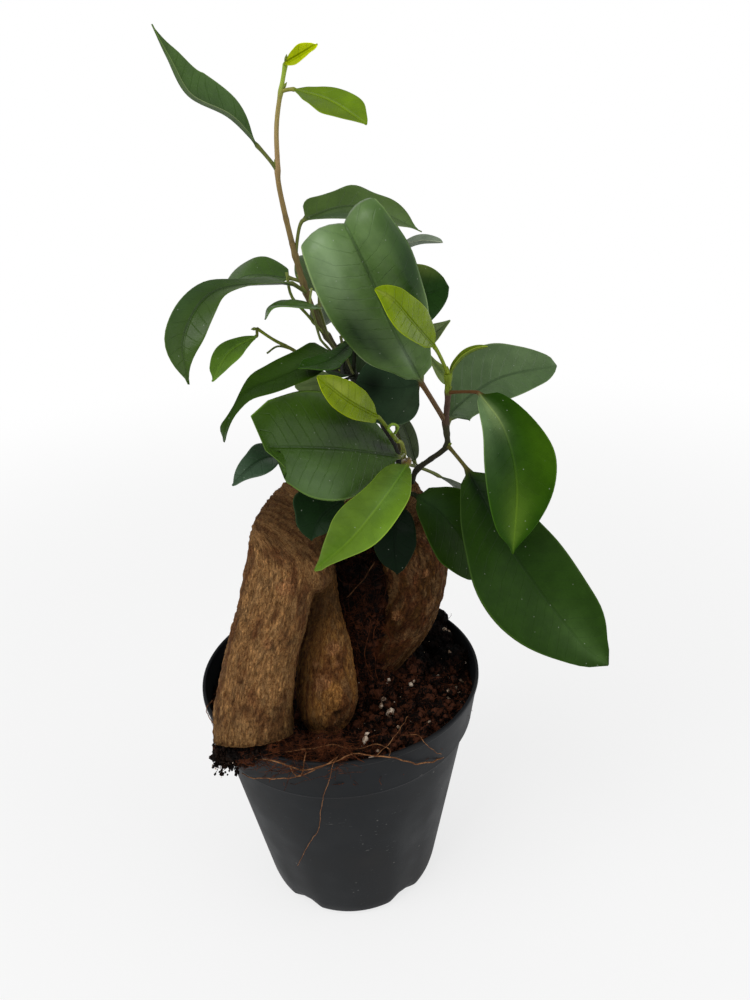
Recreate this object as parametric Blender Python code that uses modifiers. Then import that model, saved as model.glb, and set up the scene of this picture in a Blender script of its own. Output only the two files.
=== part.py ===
"""Ginseng ficus bonsai in a round plastic nursery pot.

The swollen roots form one trunk that stands on the soil like three legs. Leafy stems grow
from the trunk's crown. Lengths are in millimetres, and become metres where a mesh is made.
+Z is up, +X is to the viewer's right, and the origin is the centre of the pot's underside.
"""
import bpy
import bmesh
import numpy as np

MM = 0.001
GAP = 0.3                # clearance between two pieces that touch
MERGE = 0.0001           # merge distance of modifiers and welds, in metres

POT_HEIGHT = 109
RIM_RADIUS = 60
RIM_EDGE = 0.6           # rounding of the rim's top edges
WALL = 1.2
COLLAR_HEIGHT = 20
COLLAR_FOOT_RADIUS = 57.2
COLLAR_STEP = 1.5        # height of the step under the collar
BODY_TOP_RADIUS = 54.8
BASE_RADIUS = 39.5
BASE_ROUND = 3
FLOOR = 1.6
POT_STEPS = 48
DRAIN_HOLES = 6
DRAIN_RADIUS = 3

SOIL_LEVEL = 100
SOIL_VOXEL = 3.0
SOIL_KEEP = 0.07         # share of the remeshed faces that the soil keeps
CRUMBS = 40
TRUNK_VOXEL = 2.0
TRUNK_KEEP = 0.13        # share of the remeshed faces that the trunk keeps

STEM_SECTIONS = 15
TWIG_SECTIONS = 8
STALK_SECTIONS = 3
BLADE_SECTIONS = 8
BLADE_THICKNESS = 0.8
LEAST_HALF_WIDTH = 0.35
ACROSS = (-1, -0.55, 0, 0.55, 1)

# The trunk is one solid, built from chains of balls: x, y, z and radius.
ROOTS = {
    "left_leg": [(-39, -36.5, 103, 13.4), (-36.8, -34, 118, 13.4), (-30, -30, 141, 13),
                 (-25, -27, 157, 13.2), (-21, -23, 171, 14), (-17, -18, 184, 13.5),
                 (-11, -12, 192, 12)],
    "middle_leg": [(-8, -27, 99, 8), (-7, -25, 112, 12), (-7, -20, 131, 9),
                   (-9, -15, 150, 6), (-8, -11, 170, 8)],
    "right_leg": [(18, 2, 98, 8), (22, 3, 112, 12.5), (28, 4, 132, 15), (33, 3, 153, 16),
                  (31, 1, 175, 15), (32, 0, 190, 10)],
    "crown": [(-11, -12, 190, 12), (5, -6, 188, 14), (20, -2, 187, 14), (31, 0, 188, 11)],
}
KNOBS = [(-9, -24, 172, 9), (40, -2, 193, 5), (26, -8, 195, 6), (-2, -32, 118, 6)]

# The left leg is sawn off flat, just above the pot's rim: the saw's block, low and high corners.
SAW_BLOCK = ((-70, -70, 80), (-22, -10, 110.4))

# Soil heaped above the level surface: x, y, z and radius.
HEAPS = [(-33, -31, 103, 11.5), (-24, -38, 97, 9), (-42, -22, 98, 9), (-8, -44, 96, 8),
         (41, 30, 105, 8), (34, 36, 104, 8), (44, 19, 103, 8), (30, 8, 101, 12),
         (8, 40, 97, 8)]
# The fibrous mass of fine roots and soil that fills the hollow between the legs.
ROOT_MASS = [(7, 6, 100, 20), (6, 7, 120, 17), (7, 8, 140, 16), (9, 8, 158, 14), (12, 8, 168, 11)]
SPILL = [(-44, -38, 107.5, 5), (-47, -42, 106, 5), (-40, -46, 107, 5), (-48, -44, 101, 4)]

# Each stem: the points that it passes through, and its diameter at the foot and at the tip.
STEMS = {
    "leader": ([(31, 4, 195), (23, 4, 219), (10, 2, 246), (2, 1, 258), (-5, 0, 276),
                (-9, -2, 303), (-9, -3, 313), (-8, -4, 325), (-4, -6, 340)], 4.4, 1.8),
    "right_branch": ([(33, -2, 195), (40, -5, 204), (45, -9, 212), (45, -12, 224),
                      (45, -15, 242)], 3.4, 1.9),
    "centre_twig": ([(30, -5, 195), (28, -18, 216), (25, -26, 222)], 2.4, 1.6),
    "back_shoot": ([(30, 7, 193), (30, 18, 214), (32, 24, 233), (32, 26, 253),
                    (30, 27, 266)], 3.2, 1.6),
    "low_twig": ([(22, -8, 192), (14, -21, 206), (4, -28, 209)], 2.2, 1.6),
}
# Twigs that grow from the leader: where each starts, as a share of the leader's length.
TWIGS = {
    "left_twig": (0.31, [(-2, -6, 246), (-9, -9, 252), (-15, -14, 257), (-20, -18, 262)], 2.0, 1.2),
    "side_shoot": (0.33, [(3, -5, 254), (-1, -6, 263), (-1, -5, 268), (-1, -4, 272)], 1.6, 1.1),
}


def leaf(name, stem, share, midrib, width, face, fold=(12, 12), halves=(1, 1), twist=0,
         widest=0.45, point=1.0, edges=None, stalk=0.9, age="mature"):
    """One leaf's values.

    share is where its stalk leaves the stem, midrib the points from the blade's base to its
    tip, and face the azimuth and elevation of its upper side. fold lifts the left and right
    halves, and halves makes one narrower. A point above 1 gives slimmer ends. An uneven blade
    has edges: a share of its length, and the left and right half widths there. stalk is a radius.
    """
    return {"name": name, "stem": stem, "share": share, "midrib": midrib, "width": width,
            "face": face, "fold": fold, "halves": halves, "twist": twist, "widest": widest,
            "point": point, "edges": edges, "stalk": stalk, "age": age}


LEAVES = [
    leaf("leader_leaf_tip", "leader", 1.0, [(-4, -8, 340), (1, -11, 342), (6, -16, 344)],
         7, (-80, 15), fold=(25, 25), halves=(0.8, 1), stalk=0.6, age="young"),
    leaf("leader_leaf_high_left", "leader", 0.8,
         [(-15, -3, 319), (-25, -8, 326), (-34, -14, 332), (-38, -19, 341), (-41, -22, 350)],
         19, (-70, 10), fold=(100, 5), halves=(0.3, 1), widest=0.38, point=1.4, stalk=0.8),
    leaf("leader_leaf_high_right", "leader", 0.95, [(-2, -7, 333), (9, -15, 329), (19, -24, 322)],
         17, (-80, 40), fold=(10, 15), halves=(0.7, 1), stalk=0.7, age="bright"),
    leaf("leader_leaf_right", "leader", 0.62,
         [(-2, 0, 294), (11, 6, 297), (25, 10, 297), (38, 12, 289)],
         24, (-80, 45), fold=(0, 40), halves=(0.8, 0.9), stalk=1.0),
    leaf("leader_leaf_left", "leader", 0.5,
         [(-11, -8, 275), (-29, -25, 276), (-41, -36, 266), (-41, -42, 251)],
         16, (-110, 40), fold=(20, 20), twist=-60, stalk=0.9),
    leaf("leader_leaf_left_back", "leader", 0.47,
         [(-10, 1, 275), (-19, 4, 276), (-29, 8, 273), (-36, 10, 266)],
         22, (-90, 70), stalk=0.8),
    leaf("leader_leaf_narrow", "leader", 0.42,
         [(1, -8, 266), (-8, -14, 270), (-15, -18, 269), (-17, -19, 265)],
         8, (-90, 85), fold=(10, 10), stalk=0.7),
    leaf("leader_leaf_curled", "leader", 0.3, [(11, -20, 253), (3, -34, 253), (-7, -42, 254)],
         9, (-90, 80), fold=(10, 10)),
    leaf("leader_leaf_shaded", "leader", 0.2, [(22, 9, 246), (12, 10, 243), (2, 12, 238)],
         14, (-90, 30)),
    leaf("leader_leaf_back", "leader", 0.45, [(2, 8, 268), (6, 24, 277), (10, 40, 275)],
         24, (80, 70)),
    leaf("left_leaf_bright", "left_twig", 1.0, [(-21, -20, 260), (-29, -28, 257), (-35, -33, 249)],
         10, (-90, 45), fold=(15, 15), stalk=0.6, age="bright"),
    leaf("left_leaf_long", "left_twig", 0.1,
         [(5, -22, 248), (-3, -32, 252), (-13, -41, 251), (-23, -47, 249), (-27, -49, 247),
          (-30, -49, 240), (-31, -47, 231)], 18, (-100, 65),
         edges=[(0, 0.4, 0.4), (0.12, 6, 6), (0.3, 9.5, 9), (0.5, 9, 8.5), (0.65, 7, 7),
                (0.76, 3.5, 3.5), (0.9, 2.2, 2.2), (1, 0.4, 0.4)]),
    leaf("left_leaf_small", "left_twig", 0.3, [(-7, -13, 249), (-14, -15, 248)],
         5, (-90, 45), stalk=0.5),
    leaf("centre_leaf_large", "centre_twig", 0.6,
         [(26, -22, 214), (6, -42, 226), (-12, -55, 233), (-18, -60, 232), (-19, -61, 227)],
         38, (-90, 32),
         edges=[(0, 0.4, 0.4), (0.15, 8, 9), (0.3, 13, 14), (0.46, 15.5, 16.5), (0.65, 15, 17.5),
                (0.8, 11, 15), (0.9, 8, 11), (1, 0.4, 0.4)]),
    leaf("centre_leaf_young", "centre_twig", 1.0, [(18, -35, 232), (8, -50, 245), (-1, -60, 256)],
         14, (-60, 20), stalk=0.8, age="young"),
    leaf("centre_leaf_front", "centre_twig", 0.45,
         [(28, -40, 217), (18, -57, 215), (6, -69, 207), (-6, -77, 199)],
         23, (-110, 45), fold=(15, 15), age="bright"),
    leaf("centre_leaf_shaded", "leader", 0.3, [(5, -15, 241), (0, -18, 242), (-9, -21, 242)],
         10, (-90, 45), fold=(8, 8), stalk=0.7),
    leaf("right_leaf_front", "right_branch", 0.55,
         [(36, -20, 240), (21, -37, 270), (11, -43, 292), (7, -38, 296), (4, -25, 295), (2, -13, 289)],
         34, (-80, 20), fold=(15, 15), twist=10, stalk=1.1,
         edges=[(0, 0.4, 0.4), (0.12, 10, 6.5), (0.25, 17.5, 11), (0.38, 21.5, 14),
                (0.5, 21, 17.5), (0.62, 17, 19), (0.75, 9.5, 18), (0.88, 6, 10),
                (1, 0.4, 0.4)]),
    leaf("right_leaf_young", "right_branch", 1.0, [(42, -29, 254), (29, -48, 267), (17, -56, 281)],
         15, (-60, 20), fold=(20, 20), point=0.8, stalk=0.8, age="young"),
    leaf("right_leaf_folded", "right_branch", 0.86, [(49, -13, 246), (53, -14, 250), (60, -15, 252)],
         7, (-60, 70), fold=(60, 60), stalk=0.7, age="young"),
    leaf("right_leaf_back", "right_branch", 0.4, [(49, 2, 224), (69, 8, 232), (92, 10, 237)],
         27, (-90, 45), point=0.85),
    leaf("right_leaf_outer", "right_branch", 0.78,
         [(54, -26, 239), (60, -38, 230), (62, -50, 213), (60, -56, 190)],
         27, (-75, 30), fold=(20, 20), halves=(1, 0.85), age="deep_bright"),
    leaf("right_leaf_low", "right_branch", 0.3,
         [(51, -22, 208), (64, -46, 183), (81, -62, 157), (92, -68, 150)],
         34, (-100, 50), halves=(0.85, 1), widest=0.48, stalk=1.1),
    leaf("right_leaf_shaded", "right_branch", 0.5, [(37, -4, 236), (26, -3, 234), (13, -1, 237)],
         28, (-90, 10)),
    leaf("crown_leaf_small", "right_branch", 0.15, [(35, 6, 205), (33, 8, 212), (30, 9, 220)],
         7, (-60, 10)),
    leaf("low_leaf_right", "low_twig", 0.22, [(31, -22, 200), (42, -27, 191), (58, -29, 168)],
         34, (-80, 40)),
    leaf("low_leaf_middle", "low_twig", 0.5, [(27, -22, 196), (23, -30, 186), (23, -33, 172)],
         17, (-100, 20)),
    leaf("low_leaf_left", "low_twig", 0.8, [(5, -32, 204), (-3, -40, 201), (-8, -45, 195)],
         20, (-100, 40)),
    leaf("low_leaf_far_left", "low_twig", 1.0, [(-11, -38, 223), (-21, -47, 226), (-30, -54, 221)],
         13, (-120, 40)),
    leaf("back_leaf_high", "back_shoot", 0.9, [(28, 28, 275), (39, 24, 281), (49, 20, 282)],
         12, (-60, 80), fold=(30, 30)),
    leaf("back_leaf_upper", "back_shoot", 0.8, [(21, 14, 255), (36, 16, 262), (50, 12, 267)],
         28, (-70, 40), fold=(15, 15)),
    leaf("back_leaf_side", "back_shoot", 0.6, [(32, 18, 238), (41, 17, 246), (51, 15, 254)],
         15, (-70, 40), fold=(15, 15)),
    leaf("back_leaf_drooping", "back_shoot", 0.5, [(31, -5, 251), (39, -5, 245), (45, -6, 235)],
         12, (-90, 45)),
    leaf("back_leaf_top", "back_shoot", 1.0, [(31, 33, 267), (34, 50, 266), (36, 66, 256)],
         26, (80, 70)),
    leaf("back_leaf_left", "back_shoot", 0.95, [(24, 34, 260), (12, 48, 256), (2, 62, 244)],
         26, (120, 70)),
    leaf("back_leaf_middle", "back_shoot", 0.6, [(32, 32, 236), (34, 50, 232), (36, 72, 216)],
         28, (90, 70)),
    leaf("back_leaf_low_left", "back_shoot", 0.35, [(20, 22, 214), (4, 34, 214), (-14, 44, 202)],
         28, (120, 60)),
    leaf("back_leaf_low_right", "back_shoot", 0.2, [(48, 20, 190), (62, 28, 178), (74, 34, 160)],
         26, (40, 60)),
]

COLOURS = {
    "pot_plastic": ((0.022, 0.025, 0.028), 0.5),
    "soil": ((0.03, 0.016, 0.01), 0.95),
    "bark": ((0.22, 0.13, 0.07), 0.85),
    "stem_bark": ((0.16, 0.11, 0.05), 0.6),
    "leaf_mature": ((0.045, 0.1, 0.03), 0.35),
    "leaf_deep_bright": ((0.07, 0.16, 0.02), 0.35),
    "leaf_bright": ((0.14, 0.25, 0.05), 0.4),
    "leaf_young": ((0.35, 0.42, 0.03), 0.4),
}


def unit(vector):
    return vector / np.linalg.norm(vector)


def facing(azimuth, elevation):
    """The unit vector that points along an azimuth and elevation in degrees."""
    turn, lift = np.radians([azimuth, elevation])
    return np.array([np.cos(turn) * np.cos(lift), np.sin(turn) * np.cos(lift), np.sin(lift)])


def smooth_route(points, count):
    """Evenly spaced points on a smooth curve through the route's own points."""
    points = np.array(points, float)
    ends = np.vstack([2 * points[0] - points[1], points, 2 * points[-1] - points[-2]])
    fine = []
    for a, b, c, d in zip(ends, ends[1:], ends[2:], ends[3:]):
        for t in np.linspace(0, 1, 20, endpoint=False):
            bend = (2 * a - 5 * b + 4 * c - d) * t + (3 * b - a - 3 * c + d) * t * t
            fine.append(b + 0.5 * t * (c - a + bend))
    fine = np.array(fine + [points[-1]])
    steps = np.linalg.norm(np.diff(fine[:, :3], axis=0), axis=1)
    run = np.concatenate([[0], np.cumsum(steps)])
    even = np.linspace(0, run[-1], count)
    return np.stack([np.interp(even, run, column) for column in fine.T], 1)


def directions(route):
    along = np.gradient(route[:, :3], axis=0)
    return along / np.linalg.norm(along, axis=1)[:, None]


def carried_normals(along, face, start):
    """Normals along a route that keep to one side of it, without spinning."""
    normals = np.zeros_like(along)
    normals[start] = unit(face - along[start] * np.dot(face, along[start]))
    for step, order in ((1, range(start + 1, len(along))), (-1, range(start - 1, -1, -1))):
        for i in order:
            last = normals[i - step]
            normals[i] = unit(last - along[i] * np.dot(last, along[i]))
    return normals


class Stem:
    """A tapered stem's centre line, which leaf stalks start from."""

    def __init__(self, points, foot, tip, count=STEM_SECTIONS):
        self.route = smooth_route(points, count)
        self.along = directions(self.route)
        self.radius = np.linspace(foot, tip, count) / 2

    def at(self, share):
        place = share * (len(self.route) - 1)
        low = min(int(place), len(self.route) - 2)
        part = place - low
        return self.route[low] * (1 - part) + self.route[low + 1] * part, self.along[low]

    def clearance(self, point):
        """How far a point lies from the stem's surface, and the surface's direction there."""
        starts, spans = self.route[:-1], np.diff(self.route, axis=0)
        share = np.einsum("ij,ij->i", point - starts, spans) / np.einsum("ij,ij->i", spans, spans)
        share = np.clip(share, 0, 1)
        away = point - starts - share[:, None] * spans
        reach = np.linalg.norm(away, axis=1)
        clear = reach - self.radius[:-1] * (1 - share) - self.radius[1:] * share
        nearest = int(np.argmin(clear))
        past = np.dot(point - self.route[-1], self.along[-1])
        if past > 0:
            off = np.linalg.norm(point - self.route[-1] - past * self.along[-1])
            return np.hypot(past, max(0, off - self.radius[-1])), self.along[-1]
        return clear[nearest], away[nearest] / max(reach[nearest], 1e-6)

    def first_clear(self, curve, radius):
        """The first point of a thin branch's curve whose whole cut end is clear of the stem."""
        for i, (point, way) in enumerate(zip(curve, directions(curve))):
            away, outward = self.clearance(point)
            if away >= GAP + radius * np.sqrt(max(0, 1 - np.dot(way, outward) ** 2)):
                return i
        return len(curve) - 2


def stalk_route(stem, share, base, arrive, radius, count):
    """Points along a leaf's stalk, from the stem's surface to the blade's base."""
    start, up = stem.at(share)
    reach = np.linalg.norm(base - start)
    leave = unit(unit(base - start) + 0.5 * up)
    a, b, c, d = start, start + leave * reach * 0.35, base - arrive * reach * 0.35, base
    t = np.linspace(0, 1, 200)[:, None]
    curve = (1 - t) ** 3 * a + 3 * t * (1 - t) ** 2 * b + 3 * t * t * (1 - t) * c + t ** 3 * d
    first = stem.first_clear(curve, radius)
    places = np.linspace(first, len(curve) - 1, count + 1)[:-1]
    return np.stack([np.interp(places, np.arange(len(curve)), column) for column in curve.T], 1)


def half_width(s, widest, point):
    """Half the blade's width as a share of its greatest, a share s of the way to the tip."""
    s = np.clip(s, 0.0, 1.0)
    return ((s / widest) ** widest * ((1 - s) / (1 - widest)) ** (1 - widest)) ** point


def half_widths(row, s):
    """The left and right half widths of a leaf's blade, a share s of the way to its tip."""
    if row["edges"]:
        shares, left, right = np.array(row["edges"], float).T
        return np.interp(s, shares, left), np.interp(s, shares, right)
    half = row["width"] / 2 * half_width(s, row["widest"], row["point"])
    return [max(half * share, LEAST_HALF_WIDTH) for share in row["halves"]]


def blade_ring(place, side, up, halves, fold):
    """One cross-section of a blade: over its upper side, then back along its underside."""
    over, under = [], []
    for u in ACROSS:
        which = 0 if u < 0 else 1
        lift, reach = np.radians(fold[which]), halves[which]
        spot = place + reach * u * np.cos(lift) * side + reach * abs(u) * np.sin(lift) * up
        if abs(u) == 1:
            over.append(spot)
            continue
        normal = up * np.cos(lift) - np.sign(u) * side * np.sin(lift)
        depth = BLADE_THICKNESS / 2 * (1 - 0.4 * abs(u))
        over.append(spot + depth * normal)
        under.append(spot - depth * normal)
    return over + under[::-1]


def stalk_ring(place, side, up, radius):
    """One cross-section of a stalk, with its points in a blade ring's order."""
    count = len(ACROSS)
    angles = [*np.linspace(np.pi, 0, count), *np.linspace(0, -np.pi, count)[1:-1]]
    return [place + radius * (np.cos(a) * side + np.sin(a) * up) for a in angles]


def leaf_rings(stem, row):
    """Cross-sections of a whole leaf, from the foot of its stalk to the tip of its blade."""
    blade = smooth_route(row["midrib"], BLADE_SECTIONS + 1)
    arrive = unit(blade[1] - blade[0])
    stalk = stalk_route(stem, row["share"], blade[0], arrive, row["stalk"], STALK_SECTIONS)
    route = np.vstack([stalk, blade])
    along = directions(route)
    middle = len(stalk) + BLADE_SECTIONS // 2
    rings = []
    for i, up in enumerate(carried_normals(along, facing(*row["face"]), middle)):
        s = max(0, (i - len(stalk)) / BLADE_SECTIONS)
        turn = np.radians(row["twist"]) * (s - 0.5)
        side = np.cross(along[i], up)
        up, side = up * np.cos(turn) + side * np.sin(turn), side * np.cos(turn) - up * np.sin(turn)
        if i <= len(stalk):
            rings.append(stalk_ring(route[i], side, up, row["stalk"]))
            continue
        rings.append(blade_ring(route[i], side, up, half_widths(row, s), row["fold"]))
    return rings


# ---- Blender objects ----

def clear_scene():
    for item in list(bpy.data.objects):
        bpy.data.objects.remove(item, do_unlink=True)


def new_collection(name):
    group = bpy.data.collections.new(name)
    bpy.context.scene.collection.children.link(group)
    return group


def principled(name):
    colour, roughness = COLOURS[name]
    material = bpy.data.materials.new(name)
    material.use_nodes = True
    shader = material.node_tree.nodes["Principled BSDF"]
    shader.inputs["Base Color"].default_value = (*colour, 1)
    shader.inputs["Roughness"].default_value = roughness
    return material


def add_object(name, data, material):
    item = bpy.data.objects.new(name, data)
    parts.objects.link(item)
    data.materials.clear()
    data.materials.append(material)
    return item


def mesh_object(name, build, material):
    """An object from a function that fills a bmesh, in millimetres."""
    shape = bmesh.new()
    build(shape)
    bmesh.ops.scale(shape, vec=(MM, MM, MM), verts=shape.verts)
    bmesh.ops.recalc_face_normals(shape, faces=shape.faces)
    mesh = bpy.data.meshes.new(name)
    shape.to_mesh(mesh)
    shape.free()
    mesh.shade_smooth()
    return add_object(name, mesh, material)


def loft(shape, rings):
    """A closed skin through cross-sections that have the same number of points."""
    loops = [[shape.verts.new(point) for point in ring] for ring in rings]
    for low, high in zip(loops, loops[1:]):
        for i in range(len(low)):
            j = (i + 1) % len(low)
            shape.faces.new((low[i], low[j], high[j], high[i]))
    shape.faces.new(loops[0][::-1])
    shape.faces.new(loops[-1])


def ball(shape, x, y, z, radius):
    made = bmesh.ops.create_icosphere(shape, subdivisions=2, radius=radius)
    bmesh.ops.translate(shape, vec=(x, y, z), verts=made["verts"])


def limb(shape, chain):
    """A round limb that swells and narrows along a chain of balls."""
    route = smooth_route(chain, 12)
    along = directions(route)
    angles = np.linspace(0, 2 * np.pi, 20, endpoint=False)
    rings = []
    for point, way, up in zip(route, along, carried_normals(along, np.array([0.3, -0.9, 0.1]), 0)):
        side = np.cross(way, up)
        rings.append([point[:3] + point[3] * (np.cos(a) * side + np.sin(a) * up) for a in angles])
    loft(shape, rings)


def as_cutter(item):
    parts.objects.unlink(item)
    cutters.objects.link(item)
    item.hide_render = True
    item.display_type = "WIRE"
    return item


def cut(item, cutter):
    boolean = item.modifiers.new("cut_" + cutter.name, "BOOLEAN")
    boolean.operation = "DIFFERENCE"
    boolean.object = cutter


def evaluated_mesh(item):
    graph = bpy.context.evaluated_depsgraph_get()
    return bpy.data.meshes.new_from_object(item.evaluated_get(graph))


def turned(name, profile, material):
    """A solid turned about Z from a profile that starts and ends on the axis."""
    def build(shape):
        points = [shape.verts.new((radius, 0, height)) for radius, height in profile]
        for a, b in zip(points, points[1:]):
            shape.edges.new((a, b))
    item = mesh_object(name, build, material)
    screw = item.modifiers.new("turn", "SCREW")
    screw.steps = POT_STEPS
    screw.render_steps = POT_STEPS
    screw.use_merge_vertices = True
    screw.merge_threshold = MERGE
    return item


def pot_profile(grow):
    """The pot's section from its inner floor over the rim to its underside.

    grow thickens the wall on every side, which gives the space that the soil keeps clear of.
    """
    collar_foot = POT_HEIGHT - COLLAR_HEIGHT
    inside = [(0, FLOOR + grow), (BASE_RADIUS - WALL - grow, FLOOR + grow),
              (BODY_TOP_RADIUS - WALL - grow, collar_foot - COLLAR_STEP + grow),
              (COLLAR_FOOT_RADIUS - WALL - grow, collar_foot + grow),
              (RIM_RADIUS - WALL - grow, POT_HEIGHT - RIM_EDGE),
              (RIM_RADIUS - WALL + RIM_EDGE - grow, POT_HEIGHT + grow)]
    outside = [(RIM_RADIUS - RIM_EDGE + grow, POT_HEIGHT + grow),
               (RIM_RADIUS + grow, POT_HEIGHT - RIM_EDGE),
               (COLLAR_FOOT_RADIUS + grow, collar_foot - grow),
               (BODY_TOP_RADIUS + grow, collar_foot - COLLAR_STEP - grow),
               (BASE_RADIUS + grow, BASE_ROUND),
               (BASE_RADIUS - BASE_ROUND / 3 + grow, BASE_ROUND / 4),
               (BASE_RADIUS - BASE_ROUND, -grow), (0, -grow)]
    return inside + outside


def make_pot():
    pot = turned("pot", pot_profile(0), materials["pot_plastic"])
    for i in range(DRAIN_HOLES):
        angle = np.radians(360 / DRAIN_HOLES * (i + 0.35))

        def build(shape):
            made = bmesh.ops.create_cone(shape, segments=16, cap_ends=True, depth=14,
                                         radius1=DRAIN_RADIUS, radius2=DRAIN_RADIUS)
            place = (BASE_RADIUS * np.cos(angle), BASE_RADIUS * np.sin(angle), 0)
            bmesh.ops.translate(shape, vec=place, verts=made["verts"])
        cut(pot, as_cutter(mesh_object(f"drain_cutter_{i + 1}", build, materials["pot_plastic"])))
    return pot


def make_trunk():
    """Limbs and balls, fused by a voxel remesh and smoothed like bark."""
    def build(shape):
        for name, chain in ROOTS.items():
            limb(shape, chain)
            for end in chain[1:] if name == "left_leg" else chain:
                ball(shape, *end)
        for knob in KNOBS:
            ball(shape, *knob)
    trunk = mesh_object("trunk", build, materials["bark"])
    remesh = trunk.modifiers.new("fuse", "REMESH")
    remesh.mode = "VOXEL"
    remesh.voxel_size = TRUNK_VOXEL * MM
    soften = trunk.modifiers.new("soften", "SMOOTH")
    soften.iterations = 6
    thin_out(trunk, TRUNK_KEEP)
    low, high = np.array(SAW_BLOCK, float)

    def block(shape):
        made = bmesh.ops.create_cube(shape, size=1)
        bmesh.ops.scale(shape, vec=high - low, verts=made["verts"])
        bmesh.ops.translate(shape, vec=(low + high) / 2, verts=made["verts"])
    cut(trunk, as_cutter(mesh_object("saw_block", block, materials["bark"])))
    return trunk


def thin_out(item, keep):
    decimate = item.modifiers.new("thin_out", "DECIMATE")
    decimate.ratio = keep
    decimate.use_collapse_triangulate = True


def inflated(item, name, grow):
    """A cutter in the shape of a finished piece, grown outwards."""
    mesh = evaluated_mesh(item)
    normals = np.array([vertex.vector[:] for vertex in mesh.vertex_normals])
    places = np.array([vertex.co[:] for vertex in mesh.vertices])
    mesh.vertices.foreach_set("co", (places + normals * grow * MM).ravel())
    mesh.update()
    return as_cutter(add_object(name, mesh, item.data.materials[0]))


def make_soil(trunk_space):
    """Potting soil that fills the pot, heaped round the legs and spilling over the rim."""
    pot_space = as_cutter(turned("pot_space", pot_profile(GAP), materials["soil"]))
    random = np.random.default_rng(7)

    def build(shape):
        levels = [(FLOOR / 2, BASE_RADIUS), (POT_HEIGHT - COLLAR_HEIGHT, BODY_TOP_RADIUS),
                  (SOIL_LEVEL, RIM_RADIUS - 1.6)]
        rings = []
        for height, radius in levels:
            angles = np.linspace(0, 2 * np.pi, POT_STEPS, endpoint=False)
            middle = radius - WALL / 2
            rings.append([(middle * np.cos(a), middle * np.sin(a), height) for a in angles])
        loft(shape, rings)
        limb(shape, ROOT_MASS)
        for heap in HEAPS + SPILL + ROOT_MASS[-1:]:
            ball(shape, *heap)
        for _ in range(CRUMBS):
            turn, out = random.uniform(0, 2 * np.pi), 50 * np.sqrt(random.uniform(0, 1))
            size = random.uniform(3, 6)
            ball(shape, out * np.cos(turn), out * np.sin(turn), SOIL_LEVEL - 0.5 * size, size)
    soil = mesh_object("soil", build, materials["soil"])
    remesh = soil.modifiers.new("fuse", "REMESH")
    remesh.mode = "VOXEL"
    remesh.voxel_size = SOIL_VOXEL * MM
    thin_out(soil, SOIL_KEEP)
    cut(soil, pot_space)
    cut(soil, trunk_space)
    return soil


def tube(name, route, radii, material):
    """A tapered stem as a curve with a round section and filled ends."""
    curve = bpy.data.curves.new(name, "CURVE")
    curve.dimensions = "3D"
    curve.bevel_depth = MM
    curve.bevel_resolution = 2
    curve.use_fill_caps = True
    spline = curve.splines.new("POLY")
    spline.points.add(len(route) - 1)
    for point, place, radius in zip(spline.points, route, radii):
        point.co = (*(place * MM), 1)
        point.radius = radius
    return add_object(name, curve, material)


def curve_to_mesh(item):
    """The same tube as a welded mesh, which a Boolean can cut."""
    mesh = evaluated_mesh(item)
    shape = bmesh.new()
    shape.from_mesh(mesh)
    bmesh.ops.remove_doubles(shape, verts=shape.verts, dist=MERGE / 10)
    shape.to_mesh(mesh)
    shape.free()
    name, matrix, material = item.name, item.matrix_world.copy(), item.data.materials[0]
    bpy.data.objects.remove(item, do_unlink=True)
    made = add_object(name, mesh, material)
    made.matrix_world = matrix
    return made


def make_stems(trunk_space):
    """The stems from the crown, cut to sit on the trunk, and the twigs from the leader."""
    made = {}
    for name, (points, foot, tip) in STEMS.items():
        made[name] = Stem(points, foot, tip)
        stem = curve_to_mesh(tube(name, made[name].route, made[name].radius, materials["stem_bark"]))
        cut(stem, trunk_space)
    leader = made["leader"]
    for name, (share, points, foot, tip) in TWIGS.items():
        start = leader.at(share)[0]
        whole = smooth_route([tuple(start)] + points, 120)
        first = leader.first_clear(whole, foot / 2)
        made[name] = Stem(whole[first::16], foot, tip, TWIG_SECTIONS)
        tube(name, made[name].route, made[name].radius, materials["stem_bark"])
    return made


def make_leaf(row, stems):
    rings = leaf_rings(stems[row["stem"]], row)
    mesh_object(row["name"], lambda shape: loft(shape, rings), materials["leaf_" + row["age"]])


clear_scene()
parts = new_collection("ginseng_ficus_bonsai")
cutters = new_collection("cutters")
materials = {name: principled(name) for name in COLOURS}
make_pot()
trunk_solid = make_trunk()
trunk_clearance = inflated(trunk_solid, "trunk_space", GAP + 0.1)
make_soil(trunk_clearance)
all_stems = make_stems(trunk_clearance)
for leaf_row in LEAVES:
    make_leaf(leaf_row, all_stems)
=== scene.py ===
# %% [markdown]
# # A ginseng ficus bonsai in its nursery pot
# The part is a small potted tree: swollen roots that stand on the soil like legs, thin leafy
# stems, glossy leaves, and a plain black plastic pot. The solids of the part give the places and
# the sizes. This lesson builds the finished look over them, one piece at a time.

# %% Load the part
import bmesh
import bpy
import numpy as np
from mathutils import Matrix, Vector, noise


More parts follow.
